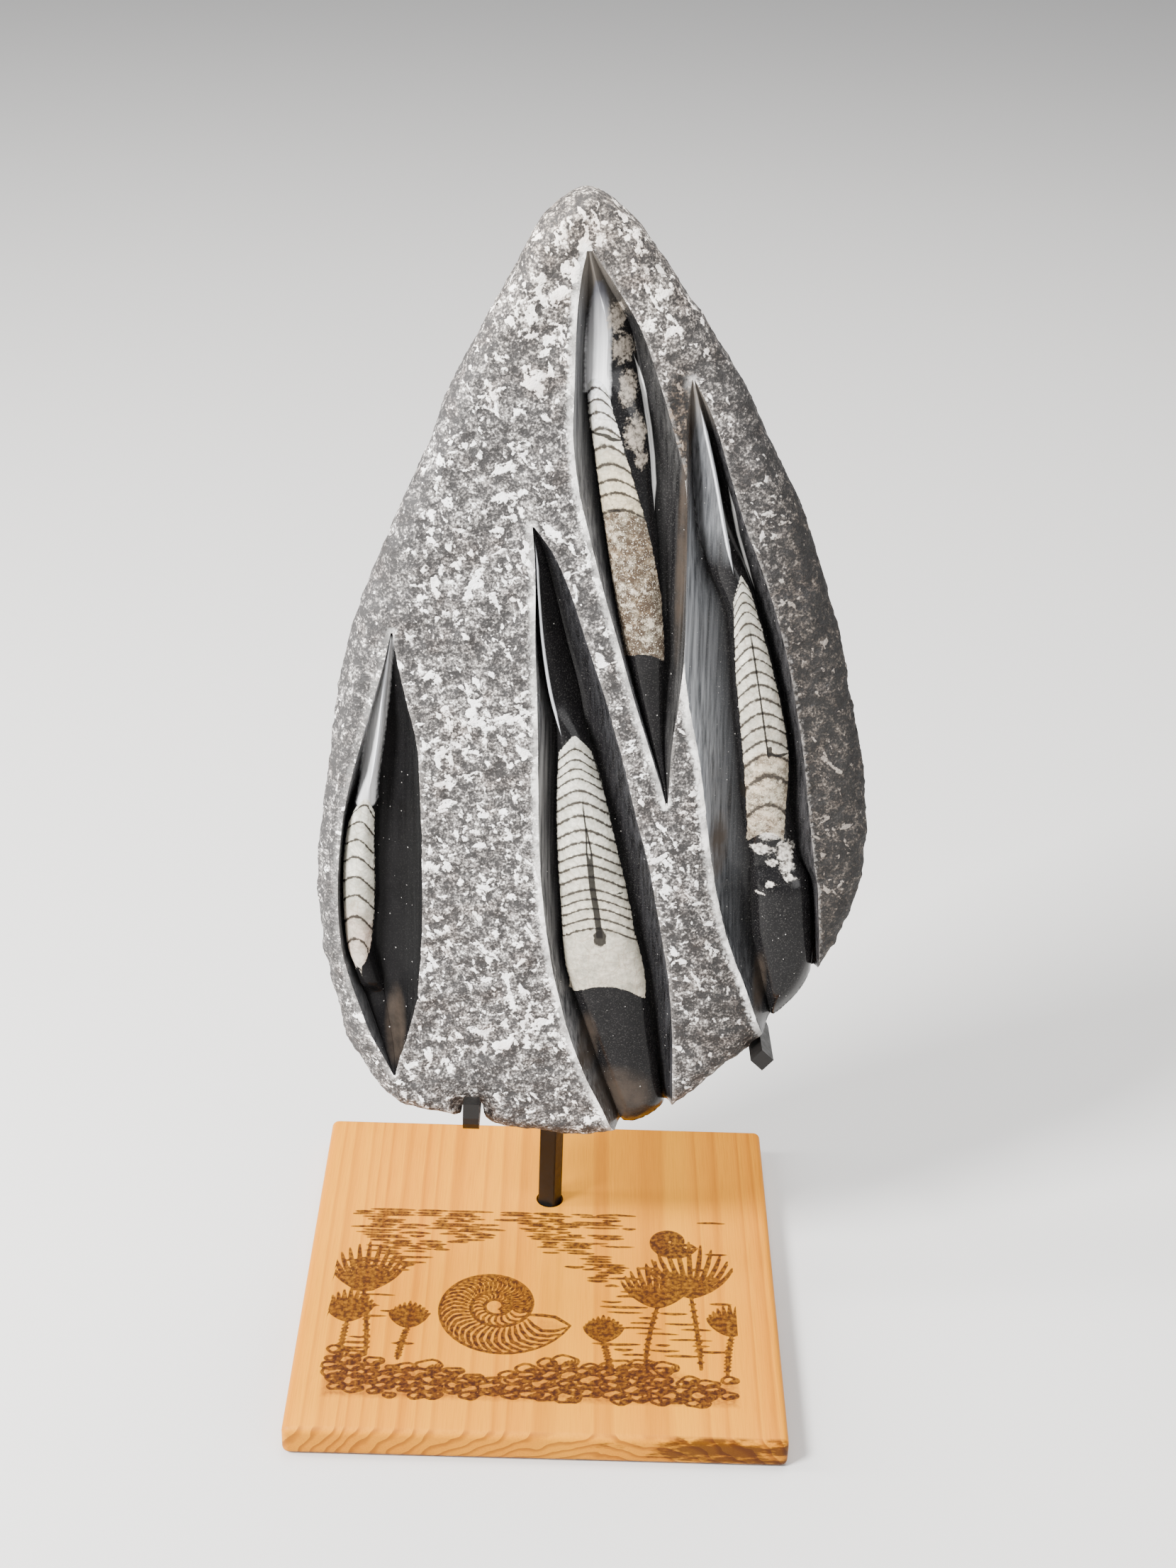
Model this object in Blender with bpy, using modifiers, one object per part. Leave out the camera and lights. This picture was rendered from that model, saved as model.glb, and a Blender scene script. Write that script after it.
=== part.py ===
"""Orthoceras fossil slab leaning on a bent-steel and wood display stand. Metres, +Z up.

The origin is the centre of the board's underside and +X is to the right of the slab's face.
Everything that follows the leaning slab is drawn in the slab's own flat frame in millimetres:
x across the face, y up the face and z out of the back, which is z = 0.
"""

import math

import bmesh
import bpy
from mathutils import Vector

MM = 0.001
GAP = 0.3  # clearance kept between touching pieces

# Board
BOARD_SIDE = 150.0
BOARD_THICK = 10.0
BOARD_ROUND = 2.2
HOLE_DIAMETER = 9.0  # drilled for the post's corners
HOLE_DEPTH = 4.0

# Post and its screw
POST_X, POST_Y = 2.0, 34.3
POST_SIDE = 6.0
POST_TURN = -26.6  # degrees about the upright
POST_TOP = 84.0
SCREW_DIAMETER = 3.0
SCREW_HEAD = 5.5
SCREW_HEAD_HEIGHT = 1.7
SCREW_TOP = 16.0
SCREW_SINK = 0.4  # head below the underside
HEX_KEY = 2.0

# Slab
LEAN = 8.0  # degrees back from upright
SLAB_FOOT = (0.0, 23.4, 70.0)  # where x = y = z = 0 of the slab's frame stands
SLAB_THICK = 23.0
SLAB_ROUND = 4.0

# Steel behind and under the slab
REST_X = 2.0
REST_WIDTH = 12.0
REST_THICK = 4.0
REST_SPAN = (-4.0, 165.0)
ARM_SIDE = 5.0
ARM_BEND = 4.0
LEFT_CLAW = (-23.0, -5.6)
LEFT_ARM_START = (-4.4, 12.0)
CLAW_TIP = 3.0
RIGHT_CLAW = (65.9, 18.8)
RIGHT_ARM_START_X = 9.7
RIGHT_ARM_ANGLE = -42.0

OUTLINE = [  # corners of the slab's edge, clockwise from the tip
    (4, 276.5), (15.5, 270), (24, 260.5), (33, 248), (42.5, 235), (51.5, 221), (58.5, 207), (65.5, 194.5),
    (72, 180.5), (77, 165.5), (82, 151), (85.5, 136.5), (89, 122.5), (91.5, 109.5), (93.5, 94.5),
    (93.5, 81.5), (91.5, 68), (88, 58.5), (83.5, 49), (77.5, 38.5), (73, 32.5), (68, 26), (62.5, 19.5),
    (55, 13), (46, 4.5), (38, -2.5), (29, -8), (19, -11), (8, -12), (-3.5, -11.5), (-12.5, -10.5),
    (-18.2, -9.6), (-19.6, -6.5), (-20.2, -2.6), (-25.8, -2.6), (-26.4, -6), (-28, -7.4), (-34, -7),
    (-41, -5.5), (-48, -2.5), (-55.5, 5), (-61.5, 15.5),
    (-66, 29), (-69, 44), (-71, 59.5), (-71.5, 73.5), (-70, 89.5), (-68.5, 103), (-66.5, 118.5),
    (-64.5, 134.5), (-60.5, 150.5), (-55, 166), (-48, 183.5), (-39.5, 203), (-31.5, 223.5),
    (-21.5, 243), (-14.5, 256.5), (-7.5, 269),
]

# Each hollow, from its upper point down. A row is the height up the face, then across it:
# left rim, ridge's left foot, ridge's crest, ridge's right foot, right rim; then the hollow's
# depth, and how far the crest stays below the face.
TOP_HOLLOW = [
    (261, 4.2, 4.7, 5.0, 5.5, 6.0, 0.6, 0.4),
    (252, 2.7, 4.8, 6.4, 10, 12.5, 5, 2.4),
    (240, 2, 5, 8.5, 16, 20, 7, 2),
    (225, 2, 5.2, 10, 20.5, 26, 8, 1.8),
    (210, 2, 7.2, 13, 23.6, 31, 8, 1.6),
    (195, 4, 9.6, 15, 25.4, 35.5, 8, 1.6),
    (180, 8, 12.2, 18, 27.2, 36.3, 8, 1.6),
    (165, 12.3, 15, 21, 28.8, 36.5, 7.5, 1.6),
    (150, 17, 19, 24, 29.6, 36.6, 7, 1.8),
    (135, 21.6, 22.8, 26, 30.2, 35.5, 6, 2.4),
    (120, 26.6, 27.2, 29, 30.8, 34, 4, 2.4),
    (108, 30.6, 31.2, 31.8, 32.4, 33.6, 2, 1.4),
    (101, 32.6, 32.8, 33, 33.2, 33.4, 0.6, 0.4),
]
LEFT_HOLLOW = [
    (151, -48.6, -48.5, -48.3, -48.1, -48, 0.6, 0.4),
    (140, -51, -50.4, -50, -49.2, -46, 4, 1.8),
    (130, -53.8, -53, -51.8, -50.4, -43.6, 6.5, 2),
    (118, -57, -55.7, -53.4, -51.2, -40.6, 8, 1.8),
    (105, -60.4, -57.6, -55, -52.4, -39.5, 8.5, 1.8),
    (92, -62.3, -60.6, -57, -53.6, -39, 8.5, 1.8),
    (78, -63.8, -63, -58.6, -54, -38.5, 8.5, 1.8),
    (64, -64.5, -63.4, -58.8, -53.8, -38.3, 8.5, 1.8),
    (50, -63.5, -62.4, -58.6, -54.6, -38.6, 8, 2),
    (41, -61.7, -60, -56.5, -53, -39.2, 7.5, 3.2),
    (34, -59.4, -57.5, -54.5, -51.2, -40.2, 7, 6.2),
    (22, -54.8, -53, -51, -48.8, -42.8, 5.5, 5.2),
    (14, -50.6, -49.8, -48.6, -47.4, -45.4, 3, 2.8),
    (8, -47.6, -47.4, -47.2, -47, -46.8, 0.6, 0.4),
]
MIDDLE_HOLLOW = [
    (184, -8.6, -8.5, -8.3, -8.1, -8, 0.6, 0.4),
    (176, -7.8, -7.5, -7, -5, -2, 4, 1.2),
    (165, -7.3, -6.9, -6.2, -2, 3, 6.5, 1.2),
    (150, -7, -5.3, -4.4, 1.8, 8.2, 8, 1.4),
    (135, -6.2, -2.7, -1.4, 6, 13.6, 8.5, 1.6),
    (122, -5.7, 0.6, 3, 9, 17.6, 8.5, 1.8),
    (110, -5.4, 0.6, 5, 11.6, 21, 8.5, 1.6),
    (95, -4.8, 0.6, 7.5, 16.3, 25, 8.5, 1.6),
    (80, -4, 1.3, 10, 19.7, 29.2, 8.5, 1.6),
    (65, -2.4, 2.7, 13, 23.6, 32.3, 8.5, 1.6),
    (50, 0, 4.8, 16, 27.4, 35.2, 8.5, 1.6),
    (40, 2.2, 7.2, 18.5, 29.8, 36.8, 8.5, 1.8),
    (25, 6.2, 11.4, 22, 32.4, 38.2, 8.5, 2.2),
    (10, 12, 16.6, 26, 35, 38.9, 8.5, 2.8),
    (-2, 18, 21.2, 29, 37, 39.6, 8.5, 3.4),
    (-16, 24, 26, 33, 40, 42, 8.5, 4),
]
RIGHT_HOLLOW = [
    (227, 34.3, 34.5, 34.8, 35, 35.4, 0.6, 0.4),
    (215, 33.4, 34.6, 38.2, 39.4, 41.5, 4.5, 1.8),
    (200, 34.2, 36.2, 42.2, 43.8, 46.6, 7, 1.8),
    (185, 34.6, 38.2, 45.6, 47.8, 52, 8, 1.8),
    (172, 34.8, 44, 49, 52.9, 57.5, 8, 1.8),
    (160, 34.8, 48.6, 52, 56.4, 62, 8, 1.8),
    (145, 35.4, 50.2, 55, 60.8, 66.5, 8.5, 1.8),
    (130, 38, 51.8, 58, 65.5, 70, 8.5, 1.8),
    (115, 41.5, 54, 61, 68.7, 73, 8.5, 1.8),
    (100, 44, 56.4, 63, 69.8, 75.3, 8.5, 2),
    (87, 46, 58.4, 65, 73, 77.4, 8.5, 4),
    (74, 48.2, 60, 69, 77.6, 79.4, 8.5, 1.8),
    (58, 53, 61.2, 70.5, 79.6, 81, 8.5, 1.6),
    (42, 59.4, 65, 73, 80.6, 82.4, 8.5, 2.6),
    (28, 64.6, 69, 76, 82.6, 85, 8.5, 4),
    (14, 70, 74, 80, 85.6, 88, 8.5, 5),
]
HOLLOWS = {
    "top": TOP_HOLLOW,
    "left": LEFT_HOLLOW,
    "middle": MIDDLE_HOLLOW,
    "right": RIGHT_HOLLOW,
}
CUTTER_TOP = 9.0  # how far a cutter stands out of the face
CHANNEL_STEPS = 3
RIDGE_STEPS = 3
SUBSTATIONS = 2  # extra sections between two rows of a hollow


def clear_scene():
    for obj in list(bpy.data.objects):
        bpy.data.objects.remove(obj, do_unlink=True)


def new_collection(name):
    collection = bpy.data.collections.new(name)
    bpy.context.scene.collection.children.link(collection)
    return collection


def material(name, colour, roughness, metallic=0.0):
    mat = bpy.data.materials.new(name)
    mat.use_nodes = True
    shader = mat.node_tree.nodes["Principled BSDF"]
    shader.inputs["Base Color"].default_value = (*colour, 1.0)
    shader.inputs["Roughness"].default_value = roughness
    shader.inputs["Metallic"].default_value = metallic
    return mat


def mesh_object(name, bm, collection, mat=None, parent=None):
    """Turn a bmesh drawn in millimetres into an object in metres."""
    bmesh.ops.scale(bm, vec=(MM, MM, MM), verts=bm.verts)
    bmesh.ops.recalc_face_normals(bm, faces=bm.faces)
    mesh = bpy.data.meshes.new(name)
    bm.to_mesh(mesh)
    bm.free()
    obj = bpy.data.objects.new(name, mesh)
    collection.objects.link(obj)
    obj.parent = parent
    if mat:
        mesh.materials.append(mat)
    return obj


def block(size, centre):
    bm = bmesh.new()
    bmesh.ops.create_cube(bm, size=1.0)
    bmesh.ops.scale(bm, vec=size, verts=bm.verts)
    bmesh.ops.translate(bm, vec=centre, verts=bm.verts)
    return bm


def rod(diameter, bottom, top, x=0.0, y=0.0, sides=32, end_diameter=None):
    bm = bmesh.new()
    end = diameter if end_diameter is None else end_diameter
    bmesh.ops.create_cone(
        bm, cap_ends=True, segments=sides, radius1=diameter / 2, radius2=end / 2, depth=top - bottom
    )
    bmesh.ops.translate(bm, vec=(x, y, (bottom + top) / 2), verts=bm.verts)
    return bm


def add_bevel(obj, width, segments=2):
    bevel = obj.modifiers.new("rounded edges", "BEVEL")
    bevel.width = width * MM
    bevel.segments = segments
    bevel.limit_method = "ANGLE"


def cut(obj, bm, collection, label):
    """Cut a closed shape, drawn in millimetres, out of an object."""
    cutter = mesh_object(f"cutter_{label}", bm, collection, parent=obj.parent)
    cutter.hide_render = True
    cutter.display_type = "WIRE"
    boolean = obj.modifiers.new(label, "BOOLEAN")
    boolean.operation = "DIFFERENCE"
    boolean.solver = "EXACT"
    boolean.object = cutter


def to_mesh(curve_obj, collection, mat):
    """Replace a curve object by its welded mesh, in the same place."""
    depsgraph = bpy.context.evaluated_depsgraph_get()
    mesh = bpy.data.meshes.new_from_object(curve_obj.evaluated_get(depsgraph))
    bm = bmesh.new()
    bm.from_mesh(mesh)
    bmesh.ops.remove_doubles(bm, verts=bm.verts, dist=0.01 * MM)
    bmesh.ops.recalc_face_normals(bm, faces=bm.faces)
    bm.to_mesh(mesh)
    bm.free()
    name = curve_obj.name
    parent = curve_obj.parent
    bpy.data.objects.remove(curve_obj, do_unlink=True)
    obj = bpy.data.objects.new(name, mesh)
    collection.objects.link(obj)
    obj.parent = parent
    mesh.materials.clear()
    mesh.materials.append(mat)
    return obj


def slab_blank(parent, collection, mat):
    """The slab before carving: its outline, given its thickness and rounded edges."""
    curve = bpy.data.curves.new("fossil_slab", "CURVE")
    curve.dimensions = "2D"
    curve.fill_mode = "BOTH"
    curve.resolution_u = 3
    curve.bevel_resolution = 1
    curve.bevel_depth = SLAB_ROUND * MM
    curve.offset = -SLAB_ROUND * MM
    curve.extrude = (SLAB_THICK / 2 - SLAB_ROUND) * MM
    spline = curve.splines.new("BEZIER")
    spline.bezier_points.add(len(OUTLINE) - 1)
    for point, (x, y) in zip(spline.bezier_points, OUTLINE):
        point.co = (x * MM, y * MM, 0.0)
        point.handle_left_type = "AUTO"
        point.handle_right_type = "AUTO"
    spline.use_cyclic_u = True
    obj = bpy.data.objects.new("fossil_slab", curve)
    collection.objects.link(obj)
    obj.parent = parent
    obj.location.z = SLAB_THICK / 2 * MM
    bpy.context.view_layer.update()
    slab = to_mesh(obj, collection, mat)
    slab.location.z = SLAB_THICK / 2 * MM
    return slab


def smoothed(rows):
    """Rows of a hollow with extra rows put between them, on Catmull-Rom curves."""
    smooth = []
    last = len(rows) - 1
    parts = SUBSTATIONS + 1
    for i in range(last):
        p0, p1, p2, p3 = (rows[max(0, min(last, i + k))] for k in (-1, 0, 1, 2))
        for s in range(parts):
            t = s / parts
            smooth.append(
                [
                    b + 0.5 * t * (c - a + t * (2 * a - 5 * b + 4 * c - d + t * (3 * (b - c) + d - a)))
                    for a, b, c, d in zip(p0, p1, p2, p3)
                ]
            )
    smooth.append(list(rows[last]))
    return smooth


def hollow_section(row):
    """One section across a hollow: down the left wall, over the ridge, up the right wall."""
    y, rim_left, foot_left, crest, foot_right, rim_right, depth, below = row
    face = SLAB_THICK
    rise = max(depth - below, 0.1)
    section = [(rim_left, face + CUTTER_TOP)]
    for i in range(CHANNEL_STEPS):
        q = i / CHANNEL_STEPS
        section.append((rim_left + q * (foot_left - rim_left), face - depth * math.sin(q * math.pi / 2)))
    for i in range(-RIDGE_STEPS, RIDGE_STEPS + 1):
        s = math.sin(i / RIDGE_STEPS * math.pi / 2)
        reach = crest - foot_left if i < 0 else foot_right - crest
        section.append((crest + s * reach, face - depth + rise * math.sqrt(1.0 - s * s)))
    for i in range(CHANNEL_STEPS - 1, -1, -1):
        q = i / CHANNEL_STEPS
        section.append((rim_right - q * (rim_right - foot_right), face - depth * math.sin(q * math.pi / 2)))
    section.append((rim_right, face + CUTTER_TOP))
    return [Vector((x, y, z)) for x, z in section]


def hollow_cutter(rows):
    """A hollow and the ridge in it, as one lofted solid that is cut out of the slab."""
    bm = bmesh.new()
    rings = []
    for row in smoothed(rows):
        rings.append([bm.verts.new(point) for point in hollow_section(row)])
    for above, below in zip(rings, rings[1:]):
        for i in range(len(above)):
            k = (i + 1) % len(above)
            bm.faces.new((above[i], above[k], below[k], below[i]))
    bm.faces.new(rings[0])
    bm.faces.new(reversed(rings[-1]))
    return bm


def fossil_slab(parent, collection, cutters, mat):
    slab = slab_blank(parent, collection, mat)
    for label, rows in HOLLOWS.items():
        cutter_mesh = hollow_cutter(rows)
        cut(slab, cutter_mesh, cutters, f"hollow_{label}")
    return slab


def rounded_path(corners, radius, steps=4):
    """Points of a path through the corners, each turned on an arc of the given radius."""
    path = [Vector(corners[0])]
    for before, corner, after in zip(corners, corners[1:], corners[2:]):
        corner = Vector(corner)
        incoming = (corner - Vector(before)).normalized()
        outgoing = (Vector(after) - corner).normalized()
        half_turn = incoming.angle(outgoing) / 2
        setback = radius * math.tan(half_turn)
        centre = corner + (outgoing - incoming).normalized() * radius / math.cos(half_turn)
        start = corner - incoming * setback - centre
        end = corner + outgoing * setback - centre
        path += [centre + start.slerp(end, i / steps).normalized() * radius for i in range(steps + 1)]
    path.append(Vector(corners[-1]))
    return path


def square_bar(name, corners, parent, collection, cutters, mat):
    """A bent bar of square section along a path."""
    half = ARM_SIDE / 2 * MM
    profile = bpy.data.curves.new(f"{name}_section", "CURVE")
    spline = profile.splines.new("POLY")
    spline.points.add(3)
    for point, (x, y) in zip(spline.points, [(-half, -half), (half, -half), (half, half), (-half, half)]):
        point.co = (x, y, 0.0, 1.0)
    spline.use_cyclic_u = True
    profile_obj = bpy.data.objects.new(f"guide_{name}", profile)
    cutters.objects.link(profile_obj)
    profile_obj.hide_render = True
    profile_obj.display_type = "WIRE"

    curve = bpy.data.curves.new(name, "CURVE")
    curve.dimensions = "3D"
    curve.bevel_mode = "OBJECT"
    curve.bevel_object = profile_obj
    curve.use_fill_caps = True
    path = rounded_path(corners, ARM_BEND)
    spline = curve.splines.new("POLY")
    spline.points.add(len(path) - 1)
    for point, place in zip(spline.points, path):
        point.co = (*(place * MM), 1.0)
    obj = bpy.data.objects.new(name, curve)
    collection.objects.link(obj)
    obj.parent = parent
    bpy.context.view_layer.update()
    return to_mesh(obj, collection, mat)


def left_arm(parent, collection, cutters, mat):
    behind = -GAP - ARM_SIDE / 2
    front = SLAB_THICK + GAP + ARM_SIDE / 2
    x, y = LEFT_CLAW
    start_x, start_y = LEFT_ARM_START
    corners = [
        (start_x, start_y, behind),
        (x, start_y, behind),
        (x, y, behind),
        (x, y, front),
        (x, CLAW_TIP, front),
    ]
    return square_bar("left_arm", corners, parent, collection, cutters, mat)


def right_arm(parent, collection, cutters, mat):
    behind = -GAP - ARM_SIDE / 2
    x, y = RIGHT_CLAW
    start_y = y + (RIGHT_ARM_START_X - x) * math.tan(math.radians(RIGHT_ARM_ANGLE))
    corners = [
        (RIGHT_ARM_START_X, start_y, behind),
        (x, y, behind),
        (x, y, SLAB_THICK + 2 * GAP),
    ]
    return square_bar("right_arm", corners, parent, collection, cutters, mat)


def back_rest(parent, collection, mat):
    bottom, top = REST_SPAN
    size = (REST_WIDTH, top - bottom, REST_THICK)
    bm = block(size, (REST_X, (bottom + top) / 2, -GAP - REST_THICK / 2))
    rest = mesh_object("back_rest", bm, collection, mat, parent)
    add_bevel(rest, 0.5, 1)
    return rest


def wood_base(collection, cutters, mat):
    bm = block((BOARD_SIDE, BOARD_SIDE, BOARD_THICK), (0, 0, BOARD_THICK / 2))
    board = mesh_object("wood_base", bm, collection, mat)
    add_bevel(board, BOARD_ROUND, 3)
    blind = rod(HOLE_DIAMETER, BOARD_THICK - HOLE_DEPTH, BOARD_THICK + 5, POST_X, POST_Y)
    cut(board, blind, cutters, "post_hole")
    shank = rod(SCREW_DIAMETER + 2 * GAP, -5, BOARD_THICK, POST_X, POST_Y, sides=16)
    cut(board, shank, cutters, "screw_hole")
    mouth = SCREW_HEAD + 2 * GAP
    sink_top = SCREW_SINK + SCREW_HEAD_HEIGHT + GAP
    slope = (mouth - SCREW_DIAMETER) / (sink_top - SCREW_SINK)
    countersink = rod(
        mouth + slope * (SCREW_SINK + 1), -1, sink_top, POST_X, POST_Y, 24, SCREW_DIAMETER + GAP
    )
    cut(board, countersink, cutters, "countersink")
    return board


def post(collection, cutters, mat):
    bottom = BOARD_THICK - HOLE_DEPTH + GAP
    bm = block((POST_SIDE, POST_SIDE, POST_TOP - bottom), (0, 0, (POST_TOP + bottom) / 2))
    bar = mesh_object("post", bm, collection, mat)
    bar.location = (POST_X * MM, POST_Y * MM, 0)
    bar.rotation_euler.z = math.radians(POST_TURN)
    add_bevel(bar, 0.4, 1)
    bore = rod(SCREW_DIAMETER + 2 * GAP, bottom - 1, SCREW_TOP + GAP, POST_X, POST_Y, sides=16)
    cut(bar, bore, cutters, "screw_bore")
    return bar


def base_screw(collection, cutters, mat):
    """A countersunk screw, turned from its half profile."""
    head_top = SCREW_SINK + SCREW_HEAD_HEIGHT
    profile = [
        (0, SCREW_TOP),
        (SCREW_DIAMETER / 2 - 0.4, SCREW_TOP),
        (SCREW_DIAMETER / 2, SCREW_TOP - 0.4),
        (SCREW_DIAMETER / 2, head_top),
        (SCREW_HEAD / 2, SCREW_SINK + 0.2),
        (SCREW_HEAD / 2, SCREW_SINK),
        (0, SCREW_SINK),
    ]
    bm = bmesh.new()
    verts = [bm.verts.new((x, 0, z)) for x, z in profile]
    for a, b in zip(verts, verts[1:]):
        bm.edges.new((a, b))
    screw = mesh_object("base_screw", bm, collection, mat)
    screw.location = (POST_X * MM, POST_Y * MM, 0)
    turn = screw.modifiers.new("turned", "SCREW")
    turn.steps = turn.render_steps = 24
    turn.use_merge_vertices = True
    turn.merge_threshold = 0.00001
    socket = rod(HEX_KEY / math.cos(math.pi / 6), -1, SCREW_SINK + 1.1, POST_X, POST_Y, sides=6)
    cut(screw, socket, cutters, "hex_socket")
    return screw


def main():
    clear_scene()
    parts = new_collection("orthoceras_fossil")
    cutters = new_collection("cutters")
    stone = material("black limestone", (0.20, 0.19, 0.18), 0.55)
    steel = material("blackened steel", (0.03, 0.03, 0.032), 0.5, 0.8)
    wood = material("waxed wood", (0.72, 0.42, 0.19), 0.45)
    zinc = material("zinc-plated steel", (0.55, 0.55, 0.53), 0.35, 1.0)

    slab_frame = bpy.data.objects.new("slab_frame", None)
    slab_frame.location = Vector(SLAB_FOOT) * MM
    slab_frame.rotation_euler.x = math.radians(90.0 - LEAN)
    parts.objects.link(slab_frame)

    fossil_slab(slab_frame, parts, cutters, stone)
    back_rest(slab_frame, parts, steel)
    left_arm(slab_frame, parts, cutters, steel)
    right_arm(slab_frame, parts, cutters, steel)
    wood_base(parts, cutters, wood)
    post(parts, cutters, steel)
    base_screw(parts, cutters, zinc)


main()
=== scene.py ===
# %% [markdown]
# # An orthoceras fossil on its stand
# The object is a pointed slab of black limestone. Straight shells, about 400 million years old, lie in
# four hollows that a carver ground round them. The slab leans on a bent steel stand that rises from a
# square wooden board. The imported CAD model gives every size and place, so this lesson adds what the
# eye sees: the worked stone, the chambers of the shells, the blackened steel and the burnt drawing.

# %% Load the CAD model as a fixed frame
import contextlib
import functools
import math
import random
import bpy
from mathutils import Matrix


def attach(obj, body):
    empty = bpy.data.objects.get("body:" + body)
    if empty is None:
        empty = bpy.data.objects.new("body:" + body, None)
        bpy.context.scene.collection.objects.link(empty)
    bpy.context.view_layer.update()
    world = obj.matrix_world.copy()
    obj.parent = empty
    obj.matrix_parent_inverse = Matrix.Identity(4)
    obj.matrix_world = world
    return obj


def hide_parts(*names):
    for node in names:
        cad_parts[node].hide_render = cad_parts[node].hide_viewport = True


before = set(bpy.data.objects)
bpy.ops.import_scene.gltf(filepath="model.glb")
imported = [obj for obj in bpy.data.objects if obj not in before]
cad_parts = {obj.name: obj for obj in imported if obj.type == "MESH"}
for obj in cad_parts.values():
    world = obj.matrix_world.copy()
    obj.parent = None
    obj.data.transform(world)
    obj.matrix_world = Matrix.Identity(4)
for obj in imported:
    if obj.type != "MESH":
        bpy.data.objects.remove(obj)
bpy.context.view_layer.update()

from types import SimpleNamespace

import bpy
import numpy as np
from mathutils import Matrix, Vector, kdtree

MM = 0.001
print("nodes:", ", ".join(sorted(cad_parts)))

# %% [markdown]
# ## The slab's own frame
# The slab leans 8 degrees back, and drawing on a leaning face is awkward. So the stone is made lying
# flat, in millimetres, with x across the face, y up it and z out of the back. One matrix lays the
# finished mesh in its place, and the object itself stays at the origin.

# %% The slab's place and outline
LEAN = math.radians(8.0)
SLAB_FOOT = Vector((0.0, 0.0234, 0.070))
SLAB_THICK = 23.0
SLAB_PLACE = Matrix.Translation(SLAB_FOOT) @ Matrix.Rotation(math.pi / 2 - LEAN, 4, "X") @ Matrix.Scale(MM, 4)

OUTLINE = [  # corners of the slab's edge in mm, clockwise from the tip
    (4, 276.5), (15.5, 270), (24, 260.5), (33, 248), (42.5, 235), (51.5, 221), (58.5, 207), (65.5, 194.5),
    (72, 180.5), (77, 165.5), (82, 151), (85.5, 136.5), (89, 122.5), (91.5, 109.5), (93.5, 94.5),
    (93.5, 81.5), (91.5, 68), (88, 58.5), (83.5, 49), (77.5, 38.5), (73, 32.5), (68, 26), (62.5, 19.5),
    (55, 13), (46, 4.5), (38, -2.5), (29, -8), (19, -11), (8, -12), (-3.5, -11.5), (-12.5, -10.5),
    (-18.2, -9.6), (-19.6, -6.5), (-20.2, -2.6), (-25.8, -2.6), (-26.4, -6), (-28, -7.4), (-34, -7),
    (-41, -5.5), (-48, -2.5), (-55.5, 5), (-61.5, 15.5),
    (-66, 29), (-69, 44), (-71, 59.5), (-71.5, 73.5), (-70, 89.5), (-68.5, 103), (-66.5, 118.5),
    (-64.5, 134.5), (-60.5, 150.5), (-55, 166), (-48, 183.5), (-39.5, 203), (-31.5, 223.5),
    (-21.5, 243), (-14.5, 256.5), (-7.5, 269),
]


def smooth_rows(rows, parts, closed=False):
    """Rows of numbers with parts - 1 extra rows between neighbours, on Catmull-Rom curves."""
    rows = np.array(rows, float)
    count = len(rows)
    spans = count if closed else count - 1
    out = []
    for i in range(spans):
        pick = [(i + k) % count if closed else min(max(i + k, 0), count - 1) for k in (-1, 0, 1, 2)]
        a, b, c, d = rows[pick]
        for t in np.arange(parts) / parts:
            out.append(b + 0.5 * t * (c - a + t * (2 * a - 5 * b + 4 * c - d + t * (3 * (b - c) + d - a))))
    if not closed:
        out.append(rows[-1])
    return np.array(out)


edge_curve = smooth_rows(OUTLINE, 5, closed=True)
print("outline:", len(edge_curve), "points,", np.ptp(edge_curve, axis=0).round(1), "mm")

# %% [markdown]
# ## The slab's face as a height
# A hand-dressed slab isn't flat. Its face falls away gently from a ridge that runs down from the tip,
# its edges are rounded over, and its left border is bevelled from a crease that runs up from the left
# hollow. All of it is one height formula, so that the stone's blank, the hollows and their worn lips
# agree on where the face is.

# %% Height of the dressed face and of the back
SHOULDER_WIDTH = 7.0
SHOULDER_DROP = 5.0
ROOF_DROP = 3.2
ROOF_REACH = 75.0
BACK_ROUND = 4.0
BEVEL_SLOPE = 0.3
BEVEL_CREASE = [
    (172, -42), (164, -43), (150, -48), (130, -53.5), (100, -60.5), (60, -63.5), (20, -54), (0, -44),
]


def nearest_distance(points, xy):
    """How far each place is from the nearest of the points, in mm."""
    tree = kdtree.KDTree(len(points))
    for i, (x, y) in enumerate(points):
        tree.insert((x, y, 0), i)
    tree.balance()
    return np.array([tree.find((x, y, 0))[2] for x, y in xy])


def edge_distance(xy):
    """How far inside the outline each point lies, in mm; 0 outside it."""
    reach = nearest_distance(smooth_rows(OUTLINE, 16, closed=True), xy)
    a, b = edge_curve, np.roll(edge_curve, -1, axis=0)
    inside = np.zeros(len(xy), bool)
    for (ax, ay), (bx, by) in zip(a, b):
        crosses = (ay > xy[:, 1]) != (by > xy[:, 1])
        if crosses.any():
            x_at = ax + (xy[:, 1] - ay) * (bx - ax) / (by - ay if by != ay else 1e-9)
            inside ^= crosses & (xy[:, 0] < x_at)
    return np.where(inside, reach, 0.0)


def past_crease(xy):
    """How far each point lies out on the left bevel, 0 inside its crease."""
    crease = np.array(BEVEL_CREASE, float)
    past = np.clip(np.interp(-xy[:, 1], -crease[:, 0], crease[:, 1]) - xy[:, 0], 0.0, None)
    fade = np.clip((178.0 - xy[:, 1]) / 12.0, 0.0, 1.0) * np.clip((xy[:, 1] + 4.0) / 12.0, 0.0, 1.0)
    return past * fade


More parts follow.
